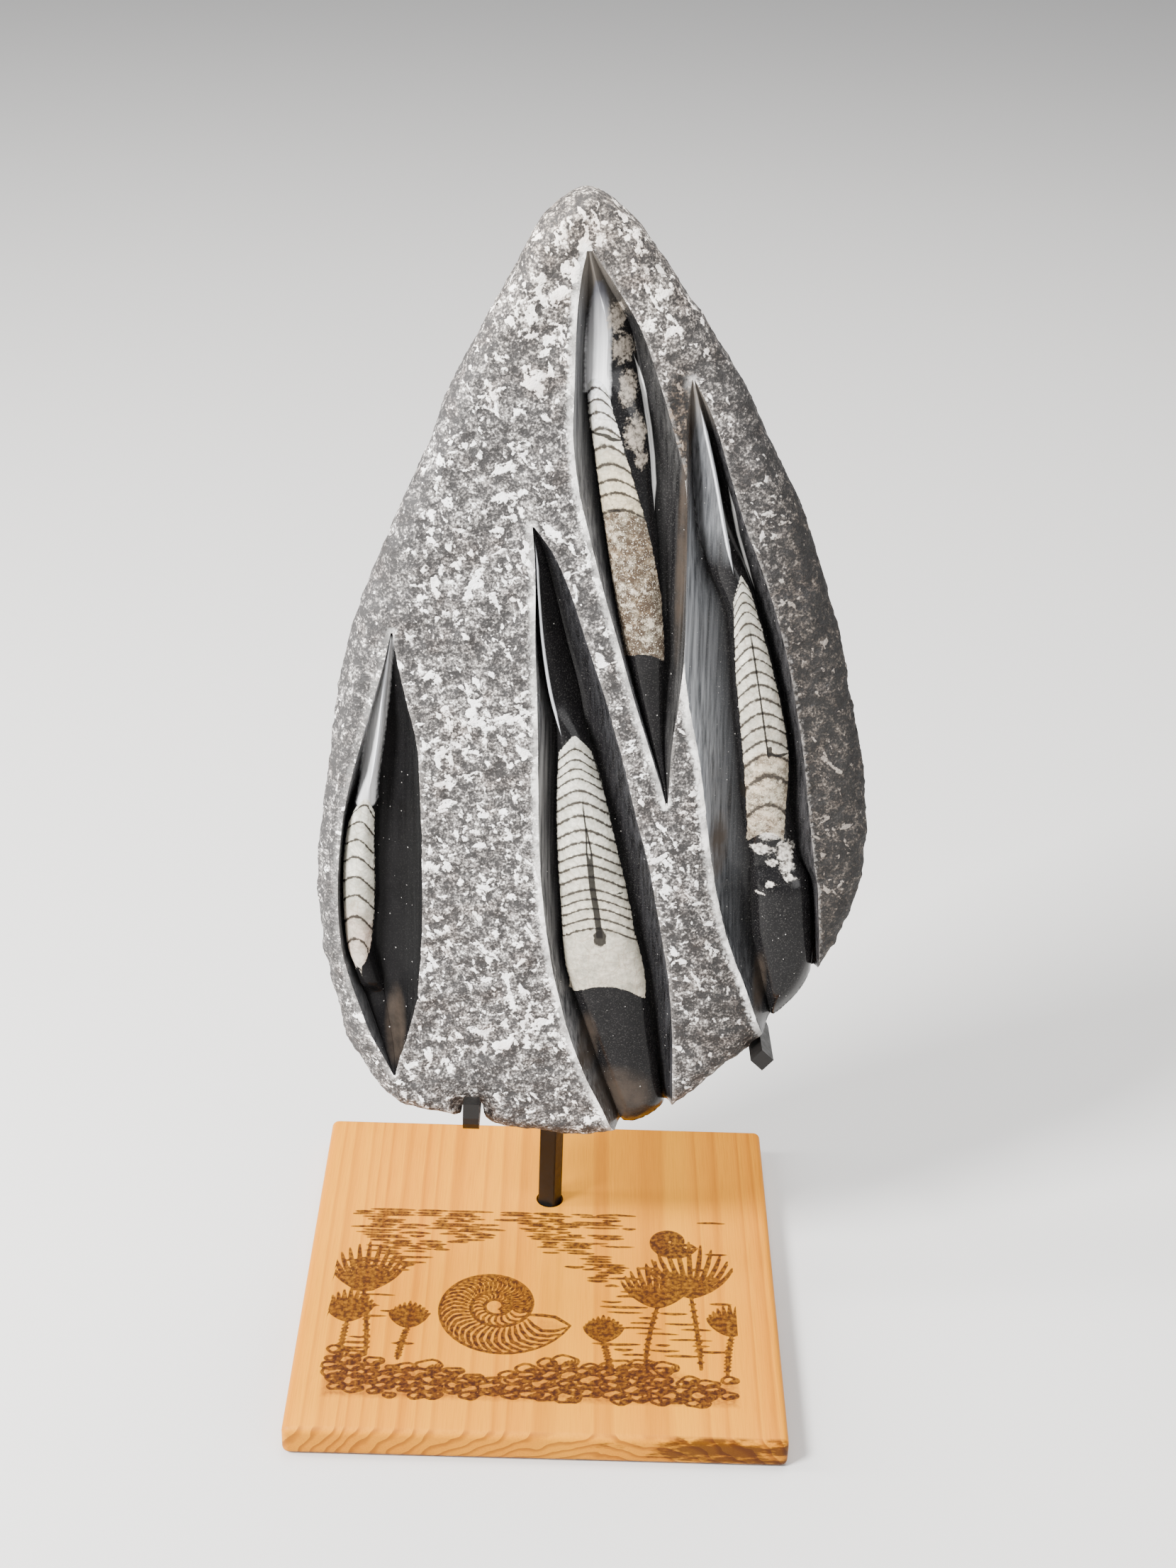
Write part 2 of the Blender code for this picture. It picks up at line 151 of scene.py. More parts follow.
def face_height(xy, distance=None):
    """Height of the dressed face over the back plane, in mm."""
    distance = edge_distance(xy) if distance is None else distance
    crest_x = 4.0 + (271.0 - xy[:, 1]) * 0.05
    roof = ROOF_DROP * (np.abs(xy[:, 0] - crest_x) / ROOF_REACH) ** 1.4
    shoulder = SHOULDER_DROP * np.clip(1.0 - distance / SHOULDER_WIDTH, 0.0, 1.0) ** 2.2
    return SLAB_THICK - roof - shoulder - BEVEL_SLOPE * past_crease(xy)


print("face height at the middle:", face_height(np.array([[10.0, 120.0]])).round(2), "mm")

# %% [markdown]
# ## The hollows as rows of numbers
# Each shell stands in a leaf-shaped hollow as a long ridge. A hollow could be sculpted freehand, but
# then its rims, its ridge and its colours would have to be found again by eye. Written as rows from
# its upper point down, the same few numbers place the cutter, the worn lips and the shell's markings.

# %% The four hollows
# height up the face, then across: left rim, ridge's left foot, crest, ridge's right foot, right rim;
# then the hollow's depth and how far the crest stays below the face, all in mm
HOLLOWS = {
    "top": [
        (261, 4.2, 4.7, 5.0, 5.5, 6.0, 0.6, 0.4),
        (252, 2.7, 4.8, 7.4, 10, 12.5, 5, 2.6),
        (240, 2, 5, 10.6, 17, 20, 7, 2),
        (225, 2, 5.2, 11, 20.5, 26, 8, 1.8),
        (210, 2, 7.2, 14, 23.8, 31, 8, 1.6),
        (195, 4, 9.6, 15, 25.4, 35.5, 8, 1.6),
        (180, 8, 12.2, 18, 27.2, 36.3, 8, 1.6),
        (165, 12.3, 15, 21, 28.8, 36.5, 7.5, 1.6),
        (150, 17, 18.4, 24, 30.6, 36.6, 7, 1.8),
        (135, 21.6, 22.6, 26, 30.8, 35.5, 6, 2.4),
        (120, 26.6, 27.2, 29, 31.2, 34, 4, 2.4),
        (108, 30.6, 31.2, 31.8, 32.4, 33.6, 2, 1.4),
        (101, 32.6, 32.8, 33, 33.2, 33.4, 0.6, 0.4),
    ],
    "left": [
        (151, -48.6, -48.5, -48.3, -48.1, -48, 0.6, 0.4),
        (140, -51, -50.6, -50, -49.2, -46, 4, 1.6),
        (130, -53.8, -53, -51.2, -50.2, -43.6, 6.5, 1.8),
        (118, -57, -56, -52.4, -51, -40.6, 8, 1.8),
        (105, -60.4, -58.2, -54.4, -52.4, -39.5, 8.5, 1.8),
        (92, -62.9, -61.6, -57.4, -53.4, -39, 8.5, 1.8),
        (78, -64.2, -63.4, -58.8, -53.8, -38.5, 8.5, 1.8),
        (64, -64.5, -63.6, -58.8, -53.6, -38.3, 8.5, 1.8),
        (50, -63.5, -62.6, -58.6, -54.4, -38.6, 8, 2),
        (42, -61.7, -60.2, -56.5, -52.6, -39.2, 7.5, 2.4),
        (37, -60.2, -58.6, -55.2, -51.4, -39.6, 7.2, 3.4),
        (33, -58.8, -57, -54, -50.8, -40.2, 7, 6.4),
        (22, -54.8, -53, -51, -48.8, -42.8, 5.5, 5.2),
        (14, -50.6, -49.8, -48.6, -47.4, -45.4, 3, 2.8),
        (8, -47.6, -47.4, -47.2, -47, -46.8, 0.6, 0.4),
    ],
    "middle": [
        (184, -8.6, -8.5, -8.3, -8.1, -8, 0.6, 0.4),
        (176, -7.8, -7.6, -7.4, -5, -2, 4, 0.9),
        (165, -7.3, -7, -6.6, -2, 3, 6.5, 0.9),
        (150, -7, -6, -5, 1.8, 8.2, 8, 1.1),
        (135, -6.2, -3.8, -2.4, 6, 13.6, 8.5, 1.4),
        (124, -5.8, -0.6, 0.6, 8.2, 17, 8.5, 1.6),
        (117, -5.6, 0, 2.8, 10.4, 19.2, 8.5, 1.7),
        (110, -5.4, 0.2, 5.6, 12.2, 21, 8.5, 1.6),
        (95, -4.8, 0.2, 8, 16.8, 25, 8.5, 1.6),
        (80, -4, 1.1, 10.4, 20.4, 29.2, 8.5, 1.6),
        (65, -2.4, 2.4, 13, 24.2, 32.3, 8.5, 1.6),
        (50, 0, 3.6, 16, 28, 35.2, 8.5, 1.6),
        (40, 2.2, 6, 18.5, 30.2, 36.8, 8.5, 1.8),
        (25, 6.2, 11.4, 22, 32.4, 38.2, 8.5, 2.2),
        (10, 12, 16.6, 26, 35, 38.9, 8.5, 2.8),
        (-2, 18, 21.2, 29, 37, 39.6, 8.5, 3.4),
        (-16, 24, 26, 33, 40, 42, 8.5, 4),
    ],
    "right": [
        (227, 34.3, 34.5, 34.8, 35, 35.4, 0.6, 0.4),
        (215, 33.4, 34.6, 38.2, 39.2, 41.5, 4.5, 1.4),
        (200, 34.2, 36.2, 42.2, 43.8, 46.6, 7, 1.6),
        (185, 34.6, 38.2, 45.6, 47.8, 52, 8, 1.6),
        (172, 34.8, 42, 48.8, 52.9, 57.5, 8, 1.8),
        (160, 34.8, 47.6, 52, 57.4, 62, 8, 1.8),
        (145, 35.4, 50, 55.4, 62.4, 66.5, 8.5, 1.8),
        (130, 38, 51.8, 58.8, 66.6, 70, 8.5, 1.8),
        (115, 41.5, 54, 61.4, 69.6, 73, 8.5, 1.8),
        (100, 44, 56, 63, 70.4, 75.3, 8.5, 2),
        (93, 45, 57, 64.3, 71.6, 76.5, 8.5, 2.8),
        (86, 46.2, 58.4, 65.5, 73, 77.6, 8.5, 4.6),
        (80, 47.4, 59.4, 67.4, 75.4, 78.6, 8.5, 4.9),
        (76.5, 48, 59.6, 68.6, 77.2, 79.4, 8.5, 2.8),
        (72, 49, 60, 69.2, 78.2, 79.9, 8.5, 1.8),
        (58, 53, 61.2, 70.8, 79.8, 81.2, 8.5, 1.6),
        (42, 59.4, 65, 73.2, 80.8, 82.6, 8.5, 2.6),
        (28, 64.6, 69, 76, 82.6, 85, 8.5, 4),
        (14, 70, 74, 80, 85.6, 88, 8.5, 5),
    ],
}
RIM_LEFT, FOOT_LEFT, CREST, FOOT_RIGHT, RIM_RIGHT = range(1, 6)  # a row's columns after its height
ROW_STEP = 1.2  # distance between a hollow's sections


def at_height(y, rows, column):
    """A column of the rows, read between them at each height."""
    rows = np.array(rows, float)
    return np.interp(-y, -rows[:, 0], rows[:, column])


def dense_rows(rows):
    """The hollow's rows at an even spacing of about ROW_STEP."""
    fine = smooth_rows(rows, 24)
    heights = np.append(np.arange(fine[0, 0], fine[-1, 0], -ROW_STEP), fine[-1, 0])
    return np.column_stack([heights, *(at_height(heights, fine, k) for k in range(1, fine.shape[1]))])


fine_rows = {name: dense_rows(rows) for name, rows in HOLLOWS.items()}


def rim_distances(xy):
    """Distance in mm to the nearest left rim and right rim; negative inside a hollow."""
    left, right = (
        nearest_distance(np.vstack([rows[:, [column, 0]] for rows in fine_rows.values()]), xy)
        for column in (RIM_LEFT, RIM_RIGHT)
    )
    x, y = xy.T
    for rows in fine_rows.values():
        beside = (x > at_height(y, rows, RIM_LEFT)) & (x < at_height(y, rows, RIM_RIGHT))
        within = beside & (y < rows[0, 0]) & (y > rows[-1, 0])
        left[within] *= -1
        right[within] *= -1
    return left, right


print("hollows:", {name: len(rows) for name, rows in fine_rows.items()}, "sections")

# %% [markdown]
# ## Roughing out the blank
# A mason saws the slab, rounds its edges with a grinder and dresses the face with a point chisel.
# Here a circle is moved onto the outline and extruded, a voxel remesh gives it an even skin of small
# quads, and the vertices are then pressed into the rounded form as a sculpting brush would. The lips
# of the hollows are worn round too. Displacements by procedural textures leave the broad waves and the
# chisel's pecks, held off the lips by a vertex group.

# %% Helpers for working on one object
def only(obj):
    """Make one object the only selected and active one."""
    bpy.ops.object.select_all(action="DESELECT")
    obj.select_set(True)
    bpy.context.view_layer.objects.active = obj


@contextlib.contextmanager
def editing(obj, select="SELECT"):
    """Edit mode on one object, with all of it selected, none of it (DESELECT) or what was (None)."""
    only(obj)
    bpy.ops.object.mode_set(mode="EDIT")
    if select:
        bpy.ops.mesh.select_all(action=select)
    yield
    bpy.ops.object.mode_set(mode="OBJECT")


def coords(obj):
    flat = np.empty(len(obj.data.vertices) * 3, np.float32)
    obj.data.vertices.foreach_get("co", flat)
    return flat.reshape(-1, 3).astype(float)


def move_to(obj, places):
    obj.data.vertices.foreach_set("co", np.asarray(places, np.float32).ravel())
    obj.data.update()


def apply_all(obj):
    only(obj)
    for modifier in list(obj.modifiers):
        bpy.ops.object.modifier_apply(modifier=modifier.name)


# %% The blank
VOXEL = 1.12
LIP_WEAR = 0.5  # how far a hollow's lip is worn down
LIP_REACH = {"left": 1.6, "right": 1.0}  # how far from the rim it is worn


def slab_blank():
    corners = len(edge_curve)
    bpy.ops.object.select_all(action="DESELECT")
    bpy.ops.mesh.primitive_circle_add(vertices=corners, radius=80.0, fill_type="NGON")
    slab = bpy.context.object
    slab.name = "stone_slab"
    move_to(slab, np.column_stack([edge_curve, np.zeros(corners)]))
    with editing(slab):
        bpy.ops.mesh.extrude_region_move(TRANSFORM_OT_translate={"value": (0, 0, SLAB_THICK)})
        bpy.ops.mesh.select_all(action="SELECT")
        bpy.ops.mesh.normals_make_consistent(inside=False)
    remesh = slab.modifiers.new("even skin", "REMESH")
    remesh.mode = "VOXEL"
    remesh.voxel_size = VOXEL
    apply_all(slab)
    return slab


def press_blank(slab):
    """Round the edges, raise the low roof of the face and wear the lips; returns where pecks may go."""
    places = coords(slab)
    distance = edge_distance(places[:, :2])
    front = face_height(places[:, :2], distance)
    left, right = rim_distances(places[:, :2])
    worn = np.maximum(1 - left / LIP_REACH["left"], 1 - right / LIP_REACH["right"])
    worn = np.where((left < 0) | (right < 0), 1.0, np.clip(worn, 0, 1))
    front -= LIP_WEAR * worn ** 2
    back = BACK_ROUND * np.clip(1.0 - distance / BACK_ROUND, 0.0, 1.0) ** 2
    share = places[:, 2] / SLAB_THICK
    places[:, 2] = back + (front - back) * share
    move_to(slab, places)
    smooth_back = 0.25 + 0.75 * np.clip(share * 4, 0, 1)
    return (1 - 0.85 * np.clip(worn * 1.6, 0, 1)) * smooth_back


def peck(slab, size, strength, middle):
    """Displace the skin by a procedural texture, as a tool's marks would."""
    texture = bpy.data.textures.new(f"pecks_{size}", "CLOUDS")
    texture.noise_scale = size
    displace = slab.modifiers.new("pecks", "DISPLACE")
    displace.texture = texture
    displace.strength = strength
    displace.mid_level = middle
    displace.vertex_group = "rough"


slab = slab_blank()
rough = slab.vertex_groups.new(name="rough")
for i, weight in enumerate(press_blank(slab)):
    rough.add([i], float(weight), "REPLACE")
for size, strength, middle in ((14.0, 1.9, 0.6), (5.0, 1.3, 0.56), (2.2, 0.8, 0.55)):
    peck(slab, size, strength, middle)
apply_all(slab)
slab.vertex_groups.clear()
print("blank:", len(slab.data.polygons), "faces")

# %% [markdown]
# ## Cutting the hollows
# The carver's wheel leaves a steep wall on each side and a ridge between them. Where the ridge is bare
# stone it ends in a crisp arris, and where it is shell it is round. The cutter starts as a grid whose
# vertices are laid on that surface; its border is pulled up and capped, and a Boolean takes it out of
# the slab. The Boolean hands the cutter's material to the cut, so each hollow keeps a slot of its own.

# %% Cutters
WALL_STEPS = 9
RIDGE_STEPS = 12
LIP_WIDTH = 0.7
LIP_HEIGHT = 0.8
CUTTER_TOP = 34.0
CRISP_ABOVE = {"top": 222.0, "left": 101.0, "middle": 124.0, "right": 172.0}
SHARP, ROUND = 1.12, 2.3  # power of the ridge's curve where it is an arris and where it is a shell


def section(row, sharp_above):
    """Across-places and depths of one section, from rim to rim."""
    height, rim_left, foot_left, crest, foot_right, rim_right, depth, below = row
    width = max(rim_right - rim_left, 0.1)
    lip = LIP_WIDTH * min(1.0, width / 6.0)
    rise = max(depth - below, 0.05)
    wall = np.linspace(0.0, 1.0, WALL_STEPS)[:-1]
    left = np.column_stack([rim_left + wall * (foot_left - rim_left), depth * np.sin(wall * np.pi / 2)])
    right = np.column_stack([rim_right - wall * (rim_right - foot_right), depth * np.sin(wall * np.pi / 2)])
    soft = np.clip((sharp_above - height) / 14.0 + 0.5, 0.0, 1.0)
    power = SHARP + (ROUND - SHARP) * soft * soft * (3 - 2 * soft)
    turn = np.sin(np.linspace(-1.0, 1.0, 2 * RIDGE_STEPS + 1) * np.pi / 2)
    reach = np.where(turn < 0, crest - foot_left, foot_right - crest)
    hump = (1.0 - np.abs(turn) ** power) ** (1 / power)
    ridge = np.column_stack([crest + turn * reach, depth - rise * hump])
    start = [(rim_left - lip, -LIP_HEIGHT)]
    end = [(rim_right + lip, -LIP_HEIGHT)]
    return np.vstack([start, left, ridge, right[::-1], end])


def hollow_cutter(name, rows):
    """The closed solid that a hollow takes out of the slab."""
    sections = np.array([section(row, CRISP_ABOVE[name]) for row in rows])
    across_count = sections.shape[1]
    heights = np.repeat(rows[:, 0], across_count)
    xy = np.column_stack([sections[:, :, 0].ravel(), heights])
    z = face_height(xy) - sections[:, :, 1].ravel()
    bpy.ops.object.select_all(action="DESELECT")
    bpy.ops.mesh.primitive_grid_add(x_subdivisions=across_count - 1, y_subdivisions=len(rows) - 1, size=1.0)
    cutter = bpy.context.object
    cutter.name = f"cutter_{name}"
    move_to(cutter, np.column_stack([xy, z]))
    with editing(cutter, "DESELECT"):
        bpy.ops.mesh.select_mode(type="EDGE")
        bpy.ops.mesh.select_non_manifold(extend=False)
        bpy.ops.mesh.extrude_region_move(TRANSFORM_OT_translate={"value": (0, 0, CUTTER_TOP)})
        bpy.ops.mesh.edge_face_add()
    places = coords(cutter)
    places[len(xy):, 2] = CUTTER_TOP
    move_to(cutter, places)
    with editing(cutter):
        bpy.ops.mesh.normals_make_consistent(inside=False)
    return cutter


def carve(body, cutter, materials):
    """Take the cutter out of the body; materials says whether its material goes to the cut."""
    boolean = body.modifiers.new("cut", "BOOLEAN")
    boolean.solver = "EXACT"
    boolean.material_mode = materials
    boolean.object = cutter
    apply_all(body)
    bpy.data.objects.remove(cutter)


rock = bpy.data.materials.new("chiselled limestone")
slab.data.materials.append(rock)
shell_stone = {name: bpy.data.materials.new(f"polished limestone and shell, {name}") for name in HOLLOWS}
for name, rows in fine_rows.items():
    cutter = hollow_cutter(name, rows)
    cutter.data.materials.append(shell_stone[name])
    carve(slab, cutter, "TRANSFER")
    print(name, "hollow cut,", len(slab.data.polygons), "faces")

# %% [markdown]
# ## Cleaning up after the cuts
# Each cut leaves corners a hair apart and corners that only divide one line in two. Neither shows,
# but a mesh that is split into triangles would fold on itself there. The first are merged, the second
# dissolved, and the faces with many sides become triangles, so that every edge has just two faces.

# %% A clean, closed stone
with editing(slab, None):
    bpy.ops.mesh.select_mode(type="VERT")
    bpy.ops.mesh.select_all(action="SELECT")
    bpy.ops.mesh.remove_doubles(threshold=0.01)
    bpy.ops.mesh.select_all(action="DESELECT")
ends = np.empty(len(slab.data.edges) * 2, np.int32)
slab.data.edges.foreach_get("vertices", ends)
edges_met = np.bincount(ends, minlength=len(slab.data.vertices))
slab.data.vertices.foreach_set("select", edges_met == 2)
with editing(slab, None):
    bpy.ops.mesh.dissolve_verts()
    bpy.ops.mesh.select_mode(type="FACE")
    bpy.ops.mesh.select_all(action="DESELECT")
    bpy.ops.mesh.select_face_by_sides(number=4, type="GREATER")
    bpy.ops.mesh.quads_convert_to_tris(quad_method="BEAUTY", ngon_method="BEAUTY")
print("slab closed up:", (edges_met == 2).sum(), "idle corners gone,", len(slab.data.polygons), "faces")

# %% [markdown]
# ## Markings carried by the mesh
# A shell's chambers, its dark inner tube and its broken edges follow the fossil, not the slab. They
# could be painted on an image, but numbers stored on the vertices are sharper and need no picture.
# Each shell is written as its two edges and the heights of its septa, the walls between its chambers.
# A septum bows upwards, so each vertex stores a chamber number with that bow already taken out.

# %% The shells' own numbers, in mm on the face
SHELLS = {
    "top": {
        "edges": [  # height, left edge, right edge
            (226, 5.4, 10.4), (217, 6, 13), (212.5, 6.7, 14.6), (206, 8, 16.6), (196, 9.6, 20),
            (185, 11.6, 23.7), (174, 13.5, 26.5), (163, 15.5, 28.9), (152, 17.8, 30), (147, 18.8, 30.4),
        ],
        "septa": [223.5, 220.5, 217, 212.5, 207.5, 202.5, 198, 194.5, 189.5],
        "spacing": 4.0, "bow": 2.4, "tilt": 0.05, "peak": 0.5,
        "tube": [],
        "glint": [
            (233, 17.9), (228.5, 19.6), (222, 21.4), (212, 23.4), (204, 24.6), (196, 25.4), (188, 25.8),
        ],
        "crest": (250, 242),
    },
    "left": {
        "edges": [
            (99, -58, -53.4), (90, -61.5, -53.8), (82, -63, -54), (70, -63.5, -53.8), (60, -63.2, -54),
            (50, -62.4, -54.8), (46, -61, -56), (43.5, -59.5, -57.5),
        ],
        "septa": [97, 91.5, 85.5, 80, 73.5, 67.5, 60.5, 53],
        "spacing": 6.0, "bow": 4.6, "tilt": 0.26, "peak": 0.5,
        "tube": [],
        "glint": [],
        "crest": (148, 101),
    },
    "middle": {
        "edges": [
            (121.5, 2.4, 7.4), (119, 1.4, 9), (115, 0.6, 10.5), (105.5, 0.5, 13.6), (96, 0.6, 16.2),
            (86, 1, 18.6), (76, 1.7, 21.2), (66, 2.7, 23.7), (58, 3.3, 25.2), (51, 4, 27.3), (46, 4.6, 28.5),
            (41, 6, 29.4),
        ],
        "septa": [
            117.5, 114.3, 111.5, 108.5, 104.7, 101, 96.8, 92.2, 88.3, 84.4, 81, 77.2, 73, 70, 67, 63.6, 60.5,
        ],
        "spacing": 3.8, "bow": 5.0, "tilt": 0.02, "peak": 0.5,
        "tube": [
            (104, 8.4), (100.9, 8.2), (95, 9), (90, 9.9), (85, 10.6), (73.5, 12), (65, 13.6), (57, 14.8),
        ],
        "glint": [],
        "crest": (180, 121),
    },
    "right": {
        "edges": [
            (171, 50, 52), (164, 49.3, 55), (154, 50.2, 58.5), (144.5, 51, 61.4), (135, 52.2, 64.3),
            (125, 53.7, 66.8), (115.5, 55, 68.5), (110, 55.7, 68.8), (100, 56.8, 68.6), (92, 57.7, 68.6),
        ],
        "septa": [
            169, 166.2, 163.2, 160.4, 157, 153.7, 149.8, 146.4, 142.5, 138.6, 134.2, 129.8, 125.8, 121.3,
            117.3, 110.5, 101,
        ],
        "spacing": 4.0, "bow": 4.2, "tilt": 0.0, "peak": 0.56,
        "tube": [(157, 54.2), (145, 56.7), (135, 58.7), (125, 60.6), (116, 62.3)],
        "glint": [(197, 46), (190, 48), (182, 50), (173, 53), (165, 56)],
        "crest": (220, 171),
    },
}
PATCHES = {  # middle across, middle height, half width, half height
    "white": [
        (12.9, 243, 3, 4.6), (15, 234.4, 3.6, 4.4), (16.9, 223.6, 2.9, 5.6), (19.4, 211.4, 3.4, 5.8),
        (21.4, 203.6, 2, 3), (64.4, 91.3, 4, 2.2), (62.4, 86, 3.6, 2), (69.4, 85, 3, 4),
        (70.3, 80.4, 2.4, 2.4), (65.5, 81.5, 2, 1.4), (62.4, 72.2, 1.5, 0.9), (65.6, 75.2, 2.4, 0.8),
        (71.4, 76.6, 3, 0.7),
    ],
    "dark": [
        (14.8, 57.2, 2.4, 3.4), (5.4, 64.6, 1.8, 0.6), (20.4, 71.6, 1.8, 0.6), (65.8, 116.4, 3, 0.8),
        (62.4, 118, 0.9, 2.6), (55.6, 104, 1.2, 3), (9.6, 210.6, 3, 0.8), (13.6, 209.4, 2.4, 0.8),
        (14.4, 189.5, 5, 0.7),
    ],
    "stain": [
        (-47.2, 24, 4, 15), (64.2, 40, 2.6, 14), (12, 19, 4, 14), (22, 2, 14, 13), (34.4, 214, 1.7, 16),
        (49, 88, 4, 12), (34, 182, 2, 44),
    ],
}
FACETS = [  # facets beside two of the shells, paler with a painted reflection: height, left edge, right edge
    [(253, 6.6, 9.4), (248, 5.6, 11), (242, 4.8, 12), (234, 4.4, 12.2), (221, 4.6, 12.4)],
    [
        (150, -50.6, -47.4), (140, -53, -48.2), (130, -55, -49.2), (118, -57, -50.6), (105, -58.4, -52.4),
        (96, -59.4, -53),
    ],
]
FAR = 9.0  # stored where a line isn't near
LIT_FLANK_SHARE = -0.45  # stored for the right ridge's left flank, which gets the left walls' painted light, between the floor's 0 and the wall's -1


def band_depth(x, y, rows):
    """How far inside a band of (height, left, right) rows each point is, in mm."""
    sides = np.minimum(x - at_height(y, rows, 1), at_height(y, rows, 2) - x)
    return np.minimum(sides, np.minimum(rows[0][0] - y, y - rows[-1][0]))


def line_distance(x, y, rows):
    """Signed distance across to a line of (height, across) rows."""
    return x - at_height(y, rows, 1) if rows else np.full(len(x), FAR)


def chamber_number(shell, height):
    """Whole numbers fall on the septa; beyond the first and last it stops half way."""
    septa = np.array(shell["septa"], float)
    number = np.interp(-height, -septa, np.arange(len(septa)))
    number -= np.clip((height - septa[0]) / shell["spacing"], 0, 0.5)
    return number + np.clip((septa[-1] - height) / shell["spacing"], 0, 0.5)


def patch_value(x, y, patches):
    """1 in a patch's middle, 0 on its edge, -1 far off."""
    best = np.full(len(x), -1.0)
    for middle_x, middle_y, half_x, half_y in patches:
        away = ((x - middle_x) / half_x) ** 2 + ((y - middle_y) / half_y) ** 2
        best = np.maximum(best, 1 - away)
    return best


# %% Write the numbers on the vertices
def write(mesh, name, *columns):
    kind = "FLOAT_VECTOR" if len(columns) == 3 else "FLOAT"
    layer = mesh.attributes.new(name, kind, "POINT")
    values = np.column_stack(columns).astype(np.float32).ravel()
    layer.data.foreach_set("vector" if len(columns) == 3 else "value", values)


def mark_slab(slab):
    mesh = slab.data
    places = coords(slab)
    count = len(places)
    x, y = places[:, 0], places[:, 1]
    slot_name = [mat.name for mat in mesh.materials]
    loop_vertex = np.empty(len(mesh.loops), np.int32)
    mesh.loops.foreach_get("vertex_index", loop_vertex)
    totals = np.empty(len(mesh.polygons), np.int32)
    mesh.polygons.foreach_get("loop_total", totals)
    slots = np.empty(len(mesh.polygons), np.int32)
    mesh.polygons.foreach_get("material_index", slots)
    loop_slot = np.repeat(slots, totals)

    inside, number, bowed = np.full(count, -FAR), np.zeros(count), np.zeros(count)
    tube, glint, crest = (np.full(count, FAR) for _ in range(3))
    wall = np.zeros(count)
    for name, shell in SHELLS.items():
        own = np.unique(loop_vertex[loop_slot == slot_name.index(shell_stone[name].name)])
        px, py = x[own], y[own]
        left, right = at_height(py, shell["edges"], 1), at_height(py, shell["edges"], 2)
        peak = left + shell["peak"] * (right - left)
        turn = (px - peak) / np.maximum((right - left) / 2, 0.5)
        height = py + shell["bow"] * np.clip(turn, -1.6, 1.6) ** 2 + shell["tilt"] * (px - peak)
        rows = shell["edges"]
        inside[own] = np.minimum(
            np.minimum(px - left, right - px), np.minimum(rows[0][0] - height, height - rows[-1][0])
        )
        number[own] = chamber_number(shell, height)
        bowed[own] = height
        tube[own] = line_distance(px, py, shell["tube"])
        glint[own] = line_distance(px, py, shell["glint"])
        columns = (RIM_LEFT, FOOT_LEFT, CREST, FOOT_RIGHT, RIM_RIGHT)
        rim_left, foot_left, ridge_crest, foot_right, rim_right = (
            at_height(py, fine_rows[name], column) for column in columns
        )
        crest[own] = px - ridge_crest
        up_left = (foot_left - px) / np.maximum(foot_left - rim_left, 0.3)
        up_right = (px - foot_right) / np.maximum(rim_right - foot_right, 0.3)
        wall[own] = np.clip(np.where(px < foot_left, -up_left, up_right), -1, 1)
        wall[own] = np.where((px > foot_left) & (px < foot_right), 0, wall[own])
        if name == "right":  # this ridge's left side gets the left walls' painted light above the shell
            painted_flank_light = LIT_FLANK_SHARE * np.clip((py - rows[0][0]) / 14, 0, 1)
            wall[own] = np.where((px > foot_left) & (px < ridge_crest), painted_flank_light, wall[own])
    rim_left, rim_right = rim_distances(places[:, :2])
    facet = np.max([band_depth(x, y, rows) for rows in FACETS], axis=0)
    write(mesh, "place", x, y, places[:, 2])
    write(mesh, "shell", inside, number, bowed)
    write(mesh, "lines", tube, glint, crest)
    write(mesh, "rims", np.abs(rim_left), np.abs(rim_right), facet)
    write(mesh, "wall", wall)
    write(mesh, "border", edge_distance(places[:, :2]), past_crease(places[:, :2]), np.zeros(count))
    write(mesh, "patches", *[patch_value(x, y, PATCHES[kind]) for kind in ("white", "dark", "stain")])


mark_slab(slab)
print("markings:", ", ".join(a.name for a in slab.data.attributes if a.domain == "POINT"))

# %% [markdown]
# ## Finishes
# Every finish below is built from nodes. One helper adds a node, sets its values and links what is
# handed to it, and one function turns the hex colours that a picker shows into linear light. Patterns
# on the stone read the stored millimetres, so a size of 3 means 3 mm on the slab.

# %% Node helper and colours
def linear(hex_colour):
    """An sRGB hex colour as linear red, green, blue, alpha."""
    parts = [int(hex_colour[i:i + 2], 16) / 255 for i in (1, 3, 5)]
    return (*[p / 12.92 if p <= 0.04045 else ((p + 0.055) / 1.055) ** 2.4 for p in parts], 1.0)


def put(socket, value):
    """Link a node or an output to a socket, or set it to a number, a vector or a hex colour."""
    if isinstance(value, bpy.types.Node):
        value = next(out for out in value.outputs if out.enabled)
    if isinstance(value, bpy.types.NodeSocket):
        socket.id_data.links.new(value, socket)
    else:
        socket.default_value = linear(value) if isinstance(value, str) else value


MIX_INPUTS = {"RGBA": (0, 6, 7), "FLOAT": (0, 2, 3)}  # where a Mix node keeps its factor and what it mixes


